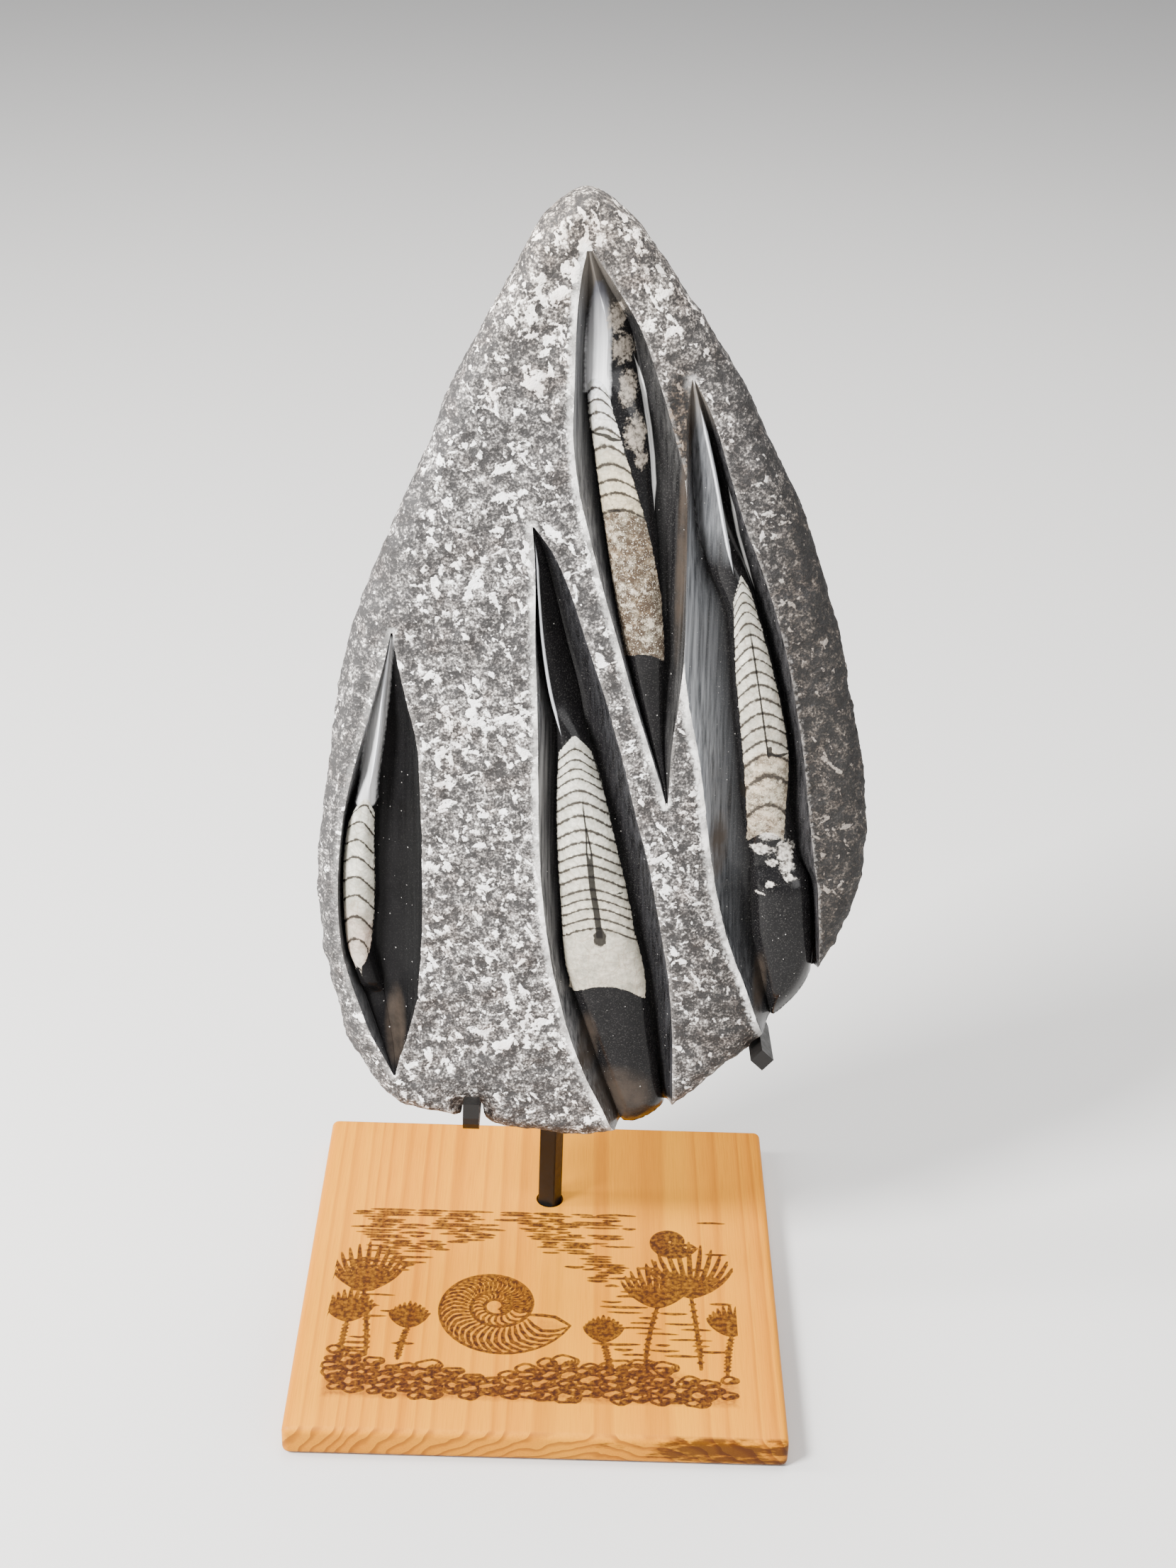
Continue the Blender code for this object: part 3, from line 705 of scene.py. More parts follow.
def add(tree, kind, *values, stops=(), **more):
    """Add a node. A kind all in capitals, such as ADD, is a Math node's operation.

    The values go to the first inputs in order. Of the named ones, those with a capital letter go to the
    inputs of that name and the others are settings. Stops are a ramp's places and colours."""
    if kind.isupper():
        more["operation"] = kind
        kind = "Math"
    if kind == "Mix":
        more.setdefault("data_type", "RGBA")
    node = tree.nodes.new(f"ShaderNode{kind}")
    for name, value in more.items():
        if name[0].islower():
            setattr(node, name, value)
    order = MIX_INPUTS[node.data_type] if kind == "Mix" else range(len(values))
    for index, value in zip(order, values):
        put(node.inputs[index], value)
    for name, value in more.items():
        if name[0].isupper():
            put(node.inputs[name.replace("_", " ")], value)
    while stops and len(node.color_ramp.elements) < len(stops):
        node.color_ramp.elements.new(1.0)
    for index, (place, colour) in enumerate(stops):
        node.color_ramp.elements[index].position = place
        node.color_ramp.elements[index].color = linear(colour) if isinstance(colour, str) else colour
    return node


def start_material(mat):
    """Give the material nodes. Returns a shorthand of add for its tree, and its shader."""
    mat.use_nodes = True
    return functools.partial(add, mat.node_tree), mat.node_tree.nodes["Principled BSDF"]


def finish(shader, level, **looks):
    """Set how strongly the surface reflects and give the shader its colour, roughness and so on."""
    shader.inputs["Specular IOR Level"].default_value = level
    for name, value in looks.items():
        put(shader.inputs[name.replace("_", " ")], value)


# %% [markdown]
# ## Chiselled limestone
# The slab is Devonian limestone, near black when polished. A point chisel bruises it: each blow
# crushes the calcite to a white fleck a few millimetres long, and between the flecks the stone stays
# mid grey with a 1 mm grain. Three stretched noises in different directions make the blows, and the
# distance to the rims whitens the worn lips. It gives a matt, salt-and-pepper face.

# %% The rock's material
ROCK_TONES = [(0.1, "#2e2c2b"), (0.26, "#4b4846"), (0.42, "#6f6b68"), (0.6, "#a8a39e"), (0.85, "#faf8f5")]


def rock_material(mat):
    node, shader = start_material(mat)
    place = node("Attribute", attribute_name="place").outputs["Vector"]
    rims = node("SeparateXYZ", node("Attribute", attribute_name="rims").outputs["Vector"]).outputs
    spot = node("SeparateXYZ", place).outputs
    border = node("SeparateXYZ", node("Attribute", attribute_name="border").outputs["Vector"]).outputs
    grain = node("TexNoise", Vector=place, Scale=0.8, Detail=2.0, Roughness=0.5)
    mottle = node("TexNoise", Vector=place, Scale=0.34, Detail=3.0, Roughness=0.6)
    broad = node("TexNoise", Vector=place, Scale=0.05, Detail=3.0)
    tint = node("TexNoise", Vector=place, Scale=0.11, Detail=2.0)

    blows = None
    for turn, long_side, short_side in ((0.35, 5.4, 3.2), (-0.9, 4.9, 2.9), (1.9, 4.0, 3.0)):
        size = (long_side, short_side, 3.0)
        stretched = node("Mapping", Vector=place, Rotation=(0, 0, turn), Scale=size, vector_type="TEXTURE")
        layer = node("TexNoise", Vector=stretched, Scale=1.0, Detail=2.0, Roughness=0.45)
        blows = node("MAXIMUM", blows, layer) if blows else layer
    # painted shade: fewer blows and a darker tone on the right side; fewer blows on the slab's flanks
    right_shade_level = node("MapRange", spot["X"], 30.0, 62.0, 0.0, 0.045)
    sparse = node("MapRange", broad, 0.35, 0.65, 0.065, -0.035)
    flank = node("MapRange", spot["Z"], 3.0, 15.0, 0.07, 0.0)
    bevel = node("MapRange", border["Y"], 0.0, 4.0, 0.0, 0.05)
    near_edge = node("MapRange", border["X"], 1.0, 8.0, 0.035, 0.0)
    crown = node("MapRange", spot["Y"], 235.0, 262.0, 0.0, -0.03)
    level = right_shade_level
    for part in (sparse, bevel, near_edge, flank, crown):
        level = node("ADD", level, part)
    grit = node("TexNoise", Vector=place, Scale=1.5, Detail=2.0, Roughness=0.6)
    struck = node("SUBTRACT", blows, level)
    struck = node("MULTIPLY_ADD", grit, 0.12, struck)
    bruise = node("MapRange", struck, 0.662, 0.735, interpolation_type="SMOOTHSTEP")
    tone = node("MULTIPLY_ADD", grain, 1.0, -1.76)
    tone = node("MULTIPLY_ADD", mottle, 1.6, tone)
    tone = node("MULTIPLY_ADD", grit, 1.5, tone)
    tone = node("MULTIPLY_ADD", bruise, 0.95, tone)
    tone = node("SUBTRACT", tone, level)

    skin = node("ValToRGB", tone, stops=ROCK_TONES)
    brown = node("MapRange", tint, 0.52, 0.7, 0.0, 0.35)
    skin = node("Mix", brown, skin, "#c3aa9b", blend_type="MULTIPLY")
    tip = node("MapRange", spot["Y"], 215.0, 270.0, 0.0, 0.7)
    skin = node("Mix", tip, skin, "#f3e8da", blend_type="MULTIPLY")
    # painted shade: the face darkens towards its right side
    right_painted_shade = node("MapRange", spot["X"], 32.0, 66.0, 0.0, 1.0)
    skin = node("Mix", right_painted_shade, skin, "#7d766f", blend_type="MULTIPLY")

    # the saddle between the two upper right hollows is darkened to brown, and its lips are not whitened
    from_saddle = node("VectorMath", place, (31.0, 204.0, 17.0), operation="SUBTRACT")
    from_saddle = node("VectorMath", from_saddle, (0.16, 0.032, 0.0), operation="MULTIPLY")
    saddle = node("VectorMath", from_saddle, operation="LENGTH").outputs["Value"]
    saddle = node("MapRange", saddle, 0.6, 1.3, 1.0, 0.0, interpolation_type="SMOOTHSTEP")
    skin = node("Mix", saddle, skin, "#75685c", blend_type="MULTIPLY")

    # worn lips: a bright line on a hollow's left rim, a thin broken one on its right
    patchy = node("MapRange", tint, 0.4, 0.6, 0.35, 0.95)
    ragged = node("MULTIPLY_ADD", grain, 4.0, -2.0)
    left_lip = node("ADD", rims["X"], ragged)
    left_lip = node("MapRange", left_lip, 0.6, 2.4, 1.0, 0.0, interpolation_type="SMOOTHSTEP")
    right_lip = node("ADD", rims["Y"], ragged)
    right_lip = node("MapRange", right_lip, 0.0, 0.9, 0.85, 0.0, interpolation_type="SMOOTHSTEP")
    lip = node("MULTIPLY", left_lip, patchy)
    inner_side = node("MapRange", spot["X"], -50.0, -40.0, 0.15, 1.0)
    lip = node("MULTIPLY", lip, inner_side)
    off_saddle = node("SUBTRACT", 1.0, saddle)
    lip = node("MULTIPLY", lip, off_saddle)
    lip_front = node("MapRange", spot["Z"], 12.0, 17.0)
    lip = node("MULTIPLY", lip, lip_front)
    skin = node("Mix", right_lip, skin, "#6f6b67")
    skin = node("Mix", lip, skin, "#eae7e2")

    # the sawn back: darker, with the saw's shallow arcs coming and going, clouds and thin calcite veins
    far_middle = node("Mapping", Vector=place, Location=(-260.0, 90.0, 0.0))
    saw = node(
        "TexWave", Vector=far_middle, Scale=0.22, Distortion=2.0, Detail=3.0, Detail_Scale=0.2,
        wave_type="RINGS", rings_direction="Z",
    )
    saw = node("MULTIPLY", saw, broad)
    sawn = node("MapRange", spot["Z"], 0.8, 3.6, 1.0, 0.0)
    saw_stone = node("Mix", saw, "#3f3d3b", "#6a6663")
    clouds = node("MapRange", mottle, 0.4, 0.64, 0.0, 0.6)
    saw_stone = node("Mix", clouds, saw_stone, "#74706c")
    size = (90.0, 26.0, 60.0)
    drawn_out = node("Mapping", Vector=place, Rotation=(0, 0, 0.5), Scale=size, vector_type="TEXTURE")
    veins = node("TexNoise", Vector=drawn_out, Scale=1.0, Detail=5.0, Roughness=0.55)
    veins = node("ADD", veins, -0.5)
    veins = node("ABSOLUTE", veins)
    thin = node("MapRange", veins, 0.001, 0.005, 0.45, 0.0)
    some = node("MapRange", tint, 0.45, 0.6)
    thin = node("MULTIPLY", thin, some)
    saw_stone = node("Mix", thin, saw_stone, "#a8a39c")
    skin = node("Mix", sawn, skin, saw_stone)

    height = node("MULTIPLY_ADD", bruise, 0.6, grain)
    fine = node("TexNoise", Vector=place, Scale=2.2, Detail=2.0, Roughness=0.6)
    height = node("MULTIPLY_ADD", fine, 0.5, height)
    smooth_lip = node("MapRange", lip, 0.0, 1.0, 1.0, 0.35)
    bump = node("Bump", Strength=smooth_lip, Distance=0.0004, Height=height)
    roughness = node("MapRange", grain, 0.3, 0.7, 0.6, 0.85)
    finish(shader, 0.4, IOR=1.5, Base_Color=skin, Roughness=roughness, Normal=bump)


rock_material(rock)

# %% [markdown]
# ## Polished limestone and shell
# Inside a hollow the same stone is sanded and polished until it is black and mirrors the lights, with
# fine streaks along the wheel's path. The shells are white calcite that filled their chambers, crossed
# by thin dark septa, some with the dark line of the siphuncle, the tube that joined the chambers. One
# function builds the four hollows' materials, and a ramp up the slab gives each shell its own tints.

# %% The shells' tints and their material
SHELL_TINTS = {  # height on the face and colour, from below
    "top": [(100, "#5f5246"), (150, "#77644f"), (170, "#86735c"), (188.6, "#8f7a60"), (189.4, "#d6c6a4"),
            (204, "#ebdec2"), (212, "#ece7dc"), (226, "#e9ebee")],
    "left": [(43, "#d8d2c2"), (52, "#d9c6b6"), (59, "#cfbdae"), (66, "#e8e3d2"), (99, "#eceadc")],
    "middle": [(40, "#d2c8b4"), (60, "#d8d0bd"), (72, "#e2dcc9"), (100, "#ebe8d9"), (121, "#f0ede0")],
    "right": [(91, "#b7a58e"), (105, "#cbb99f"), (117, "#c6b59c"), (119, "#dcd4c2"), (171, "#eae6d8")],
}
SPECKLE = {  # how much of the shell is speckled brown: height, share
    "top": [(150, 1.0), (188.6, 0.9), (189.6, 0.4), (205, 0.15), (212, 0.0)],
    "left": [(43, 0.1), (54, 0.35), (62, 0.1), (70, 0.0)],
    "middle": [(40, 0.25), (60, 0.2), (75, 0.1), (90, 0.0)],
    "right": [(92, 0.8), (117, 0.6), (119, 0.3), (150, 0.15)],
}
WALL_PAINTED_LIGHT = {  # painted light on the walls: the left wall's dark and pale streak, then the right wall's
    "top": (("#525254", "#8c8c8c"), ("#121212", "#3f3e3d")),
    "left": (("#4a4a4b", "#6c6c6c"), ("#060606", "#121212")),
    "middle": (("#414142", "#858483"), ("#0e0e0f", "#323234")),
    "right": (("#515356", "#9b9da0"), ("#131314", "#403f40")),
}
WALL_PAINTED_SHADE = {"right": (72.0, 118.0)}  # painted shade: the left wall darkens down this stretch
PAINTED_FACET_REFLECTION = {  # painted reflection on the facet beside a shell: top and foot height, and their greys
    "top": (250.0, 226.0, "#55555a", "#e6e6e6"),
    "left": (150.0, 98.0, "#b2b2b2", "#d2d2d2"),
}
APEX = {"top": (243.0, 256.0), "right": (212.0, 224.0)}  # where the hollow's upper end is greyed
BITS = {"top": ("#4f4942", "#a49a8d"), "right": ("#6d6660", "#d8d2c8")}  # broken shell, dark and pale
DUST = {"top": 0.14, "left": 0.04, "middle": 0.14, "right": 0.16}  # grey dust left on the polish
REFLECTION = {"top": 0.16, "left": 0.05, "middle": 0.12, "right": 0.16}  # low, or the room greys the black
TUBE_SPLITS = {"middle": 93.0}  # below this height the siphuncle shows two walls
GLINT_WIDTH = {"top": 0.4, "right": 0.2}  # half width of the painted highlight line on the right wall


def thin_line(node, across, up, ends, half_width):
    """A line's mask: close to its middle and between its two ends, tapering over the last 8 mm."""
    top, bottom = ends
    under = node("MapRange", up, top - 8.0, top, 0.0, half_width + 0.35)
    over = node("MapRange", up, bottom, bottom + 8.0, half_width + 0.35, 0.0)
    taper = node("MAXIMUM", under, over)
    beside = node("ABSOLUTE", across)
    beside = node("ADD", beside, taper)
    return node("MapRange", beside, half_width, half_width + 0.35, 0.95, 0.0)


def read_shell(node):
    """What the shells' nodes share: the stored numbers and four noises, by name."""
    read = {
        key: node("SeparateXYZ", node("Attribute", attribute_name=key).outputs["Vector"]).outputs
        for key in ("shell", "lines", "rims", "patches")
    }
    place = node("Attribute", attribute_name="place").outputs["Vector"]
    streaked = node("Mapping", Vector=place, Scale=(0.9, 40.0, 2.0), vector_type="TEXTURE")
    return SimpleNamespace(
        place=place,
        up_face=node("SeparateXYZ", place).outputs["Y"],
        wall=node("Attribute", attribute_name="wall").outputs["Fac"],
        inside=read["shell"]["X"], number=read["shell"]["Y"], height=read["shell"]["Z"],
        tube=read["lines"]["X"], glint=read["lines"]["Y"], crest=read["lines"]["Z"],
        facet=read["rims"]["Z"],
        white=read["patches"]["X"], dark=read["patches"]["Y"], stain=read["patches"]["Z"],
        wander=node("TexNoise", Vector=place, Scale=0.8, Detail=4.0, Roughness=0.65),
        fine=node("TexNoise", Vector=place, Scale=2.2, Detail=3.0, Roughness=0.6),
        cloud=node("TexNoise", Vector=place, Scale=0.16, Detail=4.0, Roughness=0.6),
        streaks=node("TexNoise", Vector=streaked, Scale=1.0, Detail=4.0, Roughness=0.6),
    )


def polished_black(node, see, name):
    """Polished black stone, streaked along the hollow, with painted light that greys the walls, the left ones
    more than the right.
    """
    black = node("Mix", see.cloud, "#070707", "#1a191a")
    band = node("MapRange", see.streaks, 0.34, 0.66)
    sides = [node("Mix", band, dark, pale) for dark, pale in WALL_PAINTED_LIGHT[name]]
    if name in WALL_PAINTED_SHADE:
        lit = node("MapRange", see.up_face, *WALL_PAINTED_SHADE[name], 0.25, 1.0)
        sides[0] = node("VectorMath", sides[0], operation="SCALE", Scale=lit)
    # painted light: each wall takes its lit or shaded grey by its steepness
    grey = node("Mix", node("GREATER_THAN", see.wall, 0.0), *sides)
    painted_wall_light = node("MapRange", node("ABSOLUTE", see.wall), 0.05, 0.95, 0.0, 0.85)
    colour = node("Mix", painted_wall_light, black, grey)
    dust = node("MapRange", see.fine, 0.54, 0.7, 0.0, DUST[name])
    colour = node("Mix", dust, colour, "#7d7a76")
    stain = node("MapRange", see.stain, 0.0, 0.9, interpolation_type="SMOOTHSTEP")
    stain = node("MULTIPLY", stain, node("MapRange", see.cloud, 0.3, 0.6, 0.3, 0.85))
    colour = node("Mix", stain, colour, "#3d352e")
    spots = node("TexVoronoi", Vector=see.place, Scale=0.55, Randomness=1.0)
    chance = node("SeparateXYZ", spots.outputs["Color"]).outputs
    spot_size = node("MapRange", chance[0], 0.55, 1.0, 0.0, 0.11)
    spot = node("LESS_THAN", spots.outputs["Distance"], spot_size)
    colour = node("Mix", node("MULTIPLY", spot, 0.6), colour, "#cfccc6")
    if name in APEX:
        apex = node("MapRange", see.up_face, *APEX[name], 0.0, 0.75)
        colour = node("Mix", apex, colour, "#6b655e")
    return colour


def painted_reflections(node, see, name, colour):
    """Painted reflection on the facet beside a shell, and painted highlights: the bright lines that a crisp
    edge throws back.
    """
    if name in PAINTED_FACET_REFLECTION:
        start, end, dark, pale = PAINTED_FACET_REFLECTION[name]
        facet_reflection = node("Mix", node("MapRange", see.up_face, start, end), dark, pale)
        facet_reflection_streak = node("MapRange", see.streaks, 0.3, 0.7, 0.7, 1.0)
        facet_reflection = node("VectorMath", facet_reflection, operation="SCALE", Scale=facet_reflection_streak)
        facet = node("ADD", see.facet, node("MULTIPLY_ADD", see.wander, 1.2, -0.6))
        facet = node("MapRange", facet, -0.2, 1.0, 0.0, 0.95, interpolation_type="SMOOTHSTEP")
        colour = node("Mix", facet, colour, facet_reflection)
    # painted highlights: a light line along a ridge's crisp crest, and a glint line on the right wall
    painted_crest_highlight = thin_line(node, see.crest, see.up_face, SHELLS[name]["crest"], 0.3)
    colour = node("Mix", painted_crest_highlight, colour, "#d9dbde")
    rows = SHELLS[name]["glint"]
    if rows:
        glint = thin_line(node, see.glint, see.up_face, (rows[0][0], rows[-1][0]), GLINT_WIDTH[name])
        colour = node("Mix", glint, colour, "#f2f1ee")
    return colour


def up_ramp(node, see, rows):
    """A ramp up the shell, from rows of height and colour."""
    low, high = rows[0][0], rows[-1][0]
    up = node("MapRange", see.height, float(low), float(high))
    return node("ValToRGB", up, stops=[((v - low) / (high - low), colour) for v, colour in rows])


def white_calcite(node, see, name):
    """A tint by height, each chamber a little different, with a painted shadow under each septum, clouded and
    veined.
    """
    calcite = up_ramp(node, see, SHELL_TINTS[name])
    chance = node("TexWhiteNoise", W=node("FLOOR", see.number), noise_dimensions="1D")
    shade = node("MapRange", chance, 0.0, 1.0, 0.8, 1.05)
    shade = node("MULTIPLY", shade, node("MapRange", see.wander, 0.34, 0.66, 0.66, 1.12))
    # painted shadow: each chamber darkens just below its septum
    painted_shadow_under_septum = node("MapRange", node("FRACT", see.number), 0.0, 0.5, 0.72, 1.0)
    shade = node("MULTIPLY", shade, painted_shadow_under_septum)
    shade = node("MULTIPLY", shade, 0.86)
    calcite = node("VectorMath", calcite, operation="SCALE", Scale=shade)
    damp = node("MapRange", see.cloud, 0.42, 0.62, 0.0, 0.55)
    calcite = node("Mix", damp, calcite, "#8e8d7f")
    veins = node("TexVoronoi", Vector=see.place, Scale=0.26, feature="DISTANCE_TO_EDGE")
    return node("Mix", node("MapRange", veins, 0.0, 0.04, 0.5, 0.0), calcite, "#8f7e6a")


def speckle(node, see, name, calcite):
    """Mud and broken shell that fill some chambers: brown, dark and cream. Also returns the mud's share."""
    share = up_ramp(node, see, [(v, (amount, amount, amount, 1.0)) for v, amount in SPECKLE[name]])
    mud = node("TexNoise", Vector=see.place, Scale=0.6, Detail=5.0, Roughness=0.8)
    mud = node("SUBTRACT", mud, node("MapRange", share, 0.0, 1.0, 0.74, 0.43))
    mud = node("MapRange", mud, 0.0, 0.12, 0.0, 0.95)
    calcite = node("Mix", mud, calcite, "#3c3128")
    blotch = node("TexNoise", Vector=see.place, Scale=0.36, Detail=4.0, Roughness=0.7)
    for mask, colour in (
        (node("MapRange", blotch, 0.5, 0.58, 0.0, 0.9), "#43372c"),
        (node("MapRange", blotch, 0.46, 0.38, 0.0, 0.7), "#c9bca7"),
        (node("MapRange", see.fine, 0.58, 0.66), "#e3d8c5"),
    ):
        calcite = node("Mix", node("MULTIPLY", mask, share), calcite, colour)
    return calcite, mud


def septum_lines(node, see, name):
    """The septa's mask: dark lines where the chamber number is whole, a little shaken."""
    past = node("FRACT", node("ADD", see.number, 0.5))
    near = node("ABSOLUTE", node("SUBTRACT", past, 0.5))
    near = node("MULTIPLY", near, SHELLS[name]["spacing"])
    near = node("ADD", near, node("MULTIPLY_ADD", see.wander, 1.5, -0.75))
    return node("MapRange", near, 0.16, 0.66, 0.95, 0.0, interpolation_type="SMOOTHSTEP")


def siphuncle(node, see, name):
    """The inner tube's mask, which in one shell opens into two walls with a filled lower end."""
    tube = node("ABSOLUTE", see.tube)
    if name in TUBE_SPLITS:
        start = TUBE_SPLITS[name]
        split = node("MapRange", see.height, start - 8, start, 0.7, 0.0)
        tube = node("SUBTRACT", tube, split)
        filled = node("MapRange", see.height, 82.0, 85.0, 0.0, -1.0)
        tube = node("MAXIMUM", tube, node("MULTIPLY", tube, filled))
    tube = node("ADD", tube, node("MULTIPLY_ADD", see.fine, 0.3, -0.15))
    tube = node("MapRange", tube, 0.14, 0.4, 0.95, 0.0, interpolation_type="SMOOTHSTEP")
    rows = SHELLS[name]["tube"]
    if rows:
        top, bottom = rows[0][0], rows[-1][0]
        tube = node("MULTIPLY", tube, node("MapRange", see.up_face, top - 6.0, top, 1.0, 0.0))
        tube = node("MULTIPLY", tube, node("MapRange", see.up_face, bottom, bottom + 0.5))
    return tube


def broken_bits(node, see, name, colour):
    """Pale crumbs of shell that lie beside it in the stone."""
    if name not in BITS:
        return colour
    bits = node("ADD", see.white, node("MULTIPLY_ADD", see.wander, 3.0, -1.5))
    bits = node("MapRange", bits, -0.1, 0.7, 0.0, 0.92, interpolation_type="SMOOTHSTEP")
    bit_colour = node("Mix", node("MapRange", see.wander, 0.36, 0.6), *BITS[name])
    return node("Mix", bits, colour, bit_colour)


def shell_material(mat, name):
    node, shader = start_material(mat)
    see = read_shell(node)
    colour = polished_black(node, see, name)
    colour = painted_reflections(node, see, name, colour)
    calcite, mud = speckle(node, see, name, white_calcite(node, see, name))
    septum = septum_lines(node, see, name)
    calcite = node("Mix", septum, calcite, "#2c2722")
    tube = siphuncle(node, see, name)
    calcite = node("Mix", tube, calcite, "#0f0c0a")

    # where the shell is: its own outline, with broken bits beside it and mud spots in it
    ragged = node("MULTIPLY_ADD", see.wander, 1.1, -0.55)
    body = node("MapRange", node("ADD", see.inside, ragged), -0.1, 0.2, interpolation_type="SMOOTHSTEP")
    colour = broken_bits(node, see, name, colour)
    colour = node("Mix", body, colour, calcite)
    mud_spot = node("ADD", see.dark, ragged)
    mud_spot = node("MapRange", mud_spot, 0.1, 0.35, 0.0, 0.95, interpolation_type="SMOOTHSTEP")
    colour = node("Mix", mud_spot, colour, "#1a1714")

    # the polish mirrors, the steep walls less, and the shell is duller where mud fills it
    worn = node("MapRange", node("ABSOLUTE", see.wall), 0.6, 1.0, 0.0, 0.16)
    gloss = node("ADD", node("MapRange", see.streaks, 0.3, 0.7, 0.1, 0.24), worn)
    gloss = node("Mix", body, gloss, node("MapRange", mud, 0.0, 1.0, 0.26, 0.5), data_type="FLOAT")
    relief = node("MULTIPLY", node("MAXIMUM", septum, tube), body)
    relief = node("MULTIPLY_ADD", relief, -1.0, see.cloud)
    relief = node("MULTIPLY_ADD", see.streaks, 0.25, relief)
    bump = node("Bump", Strength=0.5, Distance=0.00012, Height=relief)
    finish(shader, REFLECTION[name], IOR=1.5, Base_Color=colour, Roughness=gloss, Normal=bump)


for name, mat in shell_stone.items():
    shell_material(mat, name)
    print(mat.name, len(mat.node_tree.nodes), "nodes")

# %% Lay the slab in its place
slab.data.transform(SLAB_PLACE)
only(slab)
bpy.ops.object.shade_smooth_by_angle(angle=math.radians(50))
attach(slab, "root")
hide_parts("fossil_slab")
print("slab:", sum(len(p.vertices) - 2 for p in slab.data.polygons), "triangles")

# %% [markdown]
# ## The wooden board
# A square of solid hardwood, planed flat, with its arrises rounded by sanding. It starts as a cube with
# a Bevel modifier. Three cutters, each in a Boolean of its own, make the round socket for the post and
# the screw's hole, widened below for its head. Real wood is open at a hole's rim, so the rims stay crisp.

# %% The board's body
BOARD_SIDE, BOARD_THICK, BOARD_ROUND = 150.0, 10.0, 2.2
POST_X, POST_Y = 2.0, 34.3
PICTURE = (-66.0, -62.0, 62.0, 28.0)  # left, front, right and back edge of the drawing
EDGE_CUTS = ((25, 10), (16, 11))  # each field edge is split twice, as one subdivide makes at most 100 cuts
PICTURE_CELLS = [first * second for first, second in EDGE_CUTS]
HAIR = 0.01  # mm by which a place may miss a line and still lie on it


def cut_round(board, bottom, top, low_width, high_width):
    bpy.ops.object.select_all(action="DESELECT")
    bpy.ops.mesh.primitive_cone_add(
        vertices=48, radius1=low_width / 2, radius2=high_width / 2, depth=top - bottom,
        location=(POST_X, POST_Y, (bottom + top) / 2),
    )
    carve(board, bpy.context.object, "INDEX")


def board_body():
    bpy.ops.object.select_all(action="DESELECT")
    bpy.ops.mesh.primitive_cube_add(size=1.0, location=(0, 0, BOARD_THICK / 2))
    board = bpy.context.object
    board.name = "fossil_board"
    board.scale = (BOARD_SIDE, BOARD_SIDE, BOARD_THICK)
    bpy.ops.object.transform_apply(location=True, rotation=False, scale=True)
    sanded = board.modifiers.new("sanded arrises", "BEVEL")
    sanded.width = BOARD_ROUND
    sanded.segments = 5
    apply_all(board)
    cut_round(board, BOARD_THICK - 4.0, BOARD_THICK + 5.0, 9.0, 9.0)
    cut_round(board, -5.0, BOARD_THICK, 3.6, 3.6)
    cut_round(board, -1.0, 2.4, 8.27, 3.3)
    return board


board = board_body()
print("board:", len(board.data.polygons), "faces")

# %% [markdown]
# ## A field for the drawing
# The drawing needs far more points than the rest of the board. Four bisecting planes mark its field in
# the top, that face is deleted, and its edges are subdivided to match a fine grid, which is joined in
# and merged. The grid's cells are 0.5 mm wide.

# %% Put a fine grid in the board's top
def select_parts(mesh, kind, test):
    """Select the mesh's polygons or edges whose corners all pass the test."""
    mesh.polygons.foreach_set("select", [False] * len(mesh.polygons))
    mesh.edges.foreach_set("select", [False] * len(mesh.edges))
    mesh.vertices.foreach_set("select", [False] * len(mesh.vertices))
    for item in getattr(mesh, kind):
        if all(test(mesh.vertices[i].co) for i in item.vertices):
            item.select = True


def cut_field(board):
    left, front, right, back = PICTURE
    for point, normal in (
        ((left, 0, 0), (1, 0, 0)), ((right, 0, 0), (1, 0, 0)),
        ((0, front, 0), (0, 1, 0)), ((0, back, 0), (0, 1, 0)),
    ):
        with editing(board):
            bpy.ops.mesh.bisect(plane_co=point, plane_no=normal)

    def in_field(p):
        return (
            p.z > BOARD_THICK - HAIR
            and left - HAIR < p.x < right + HAIR
            and front - HAIR < p.y < back + HAIR
        )

    select_parts(board.data, "polygons", in_field)
    with editing(board, None):
        bpy.ops.mesh.select_mode(type="FACE")
        bpy.ops.mesh.delete(type="ONLY_FACE")
        bpy.ops.mesh.select_mode(type="EDGE")
    for axis, cuts in enumerate(EDGE_CUTS):
        for end in (PICTURE[1 - axis], PICTURE[3 - axis]):
            for parts in cuts:
                select_parts(board.data, "edges", lambda p: in_field(p) and abs(p[1 - axis] - end) < HAIR)
                with editing(board, None):
                    bpy.ops.mesh.subdivide(number_cuts=parts - 1)
    bpy.ops.object.select_all(action="DESELECT")
    bpy.ops.mesh.primitive_grid_add(
        x_subdivisions=PICTURE_CELLS[0], y_subdivisions=PICTURE_CELLS[1], size=1.0,
        location=((left + right) / 2, (front + back) / 2, BOARD_THICK),
    )
    field = bpy.context.object
    field.scale = (right - left, back - front, 1.0)
    bpy.ops.object.transform_apply(location=True, rotation=False, scale=True)
    board.select_set(True)
    bpy.context.view_layer.objects.active = board
    bpy.ops.object.join()
    with editing(board):
        bpy.ops.mesh.remove_doubles(threshold=2 * HAIR)
        bpy.ops.mesh.normals_make_consistent(inside=False)
        bpy.ops.mesh.select_all(action="DESELECT")
        bpy.ops.mesh.select_non_manifold(extend=False)
    print("open edges left:", sum(edge.select for edge in board.data.edges))


cut_field(board)

# %% [markdown]
# ## Drawing with strokes
# The board carries a drawing burnt in by a fine hot point: a sea floor with an ammonite and sea lilies.
# Each stroke is a row of points with a width that tapers to its ends. Every grid vertex keeps its
# distance to the nearest stroke, and the material turns that distance into a crisp edge, so a line can
# be finer than a cell.

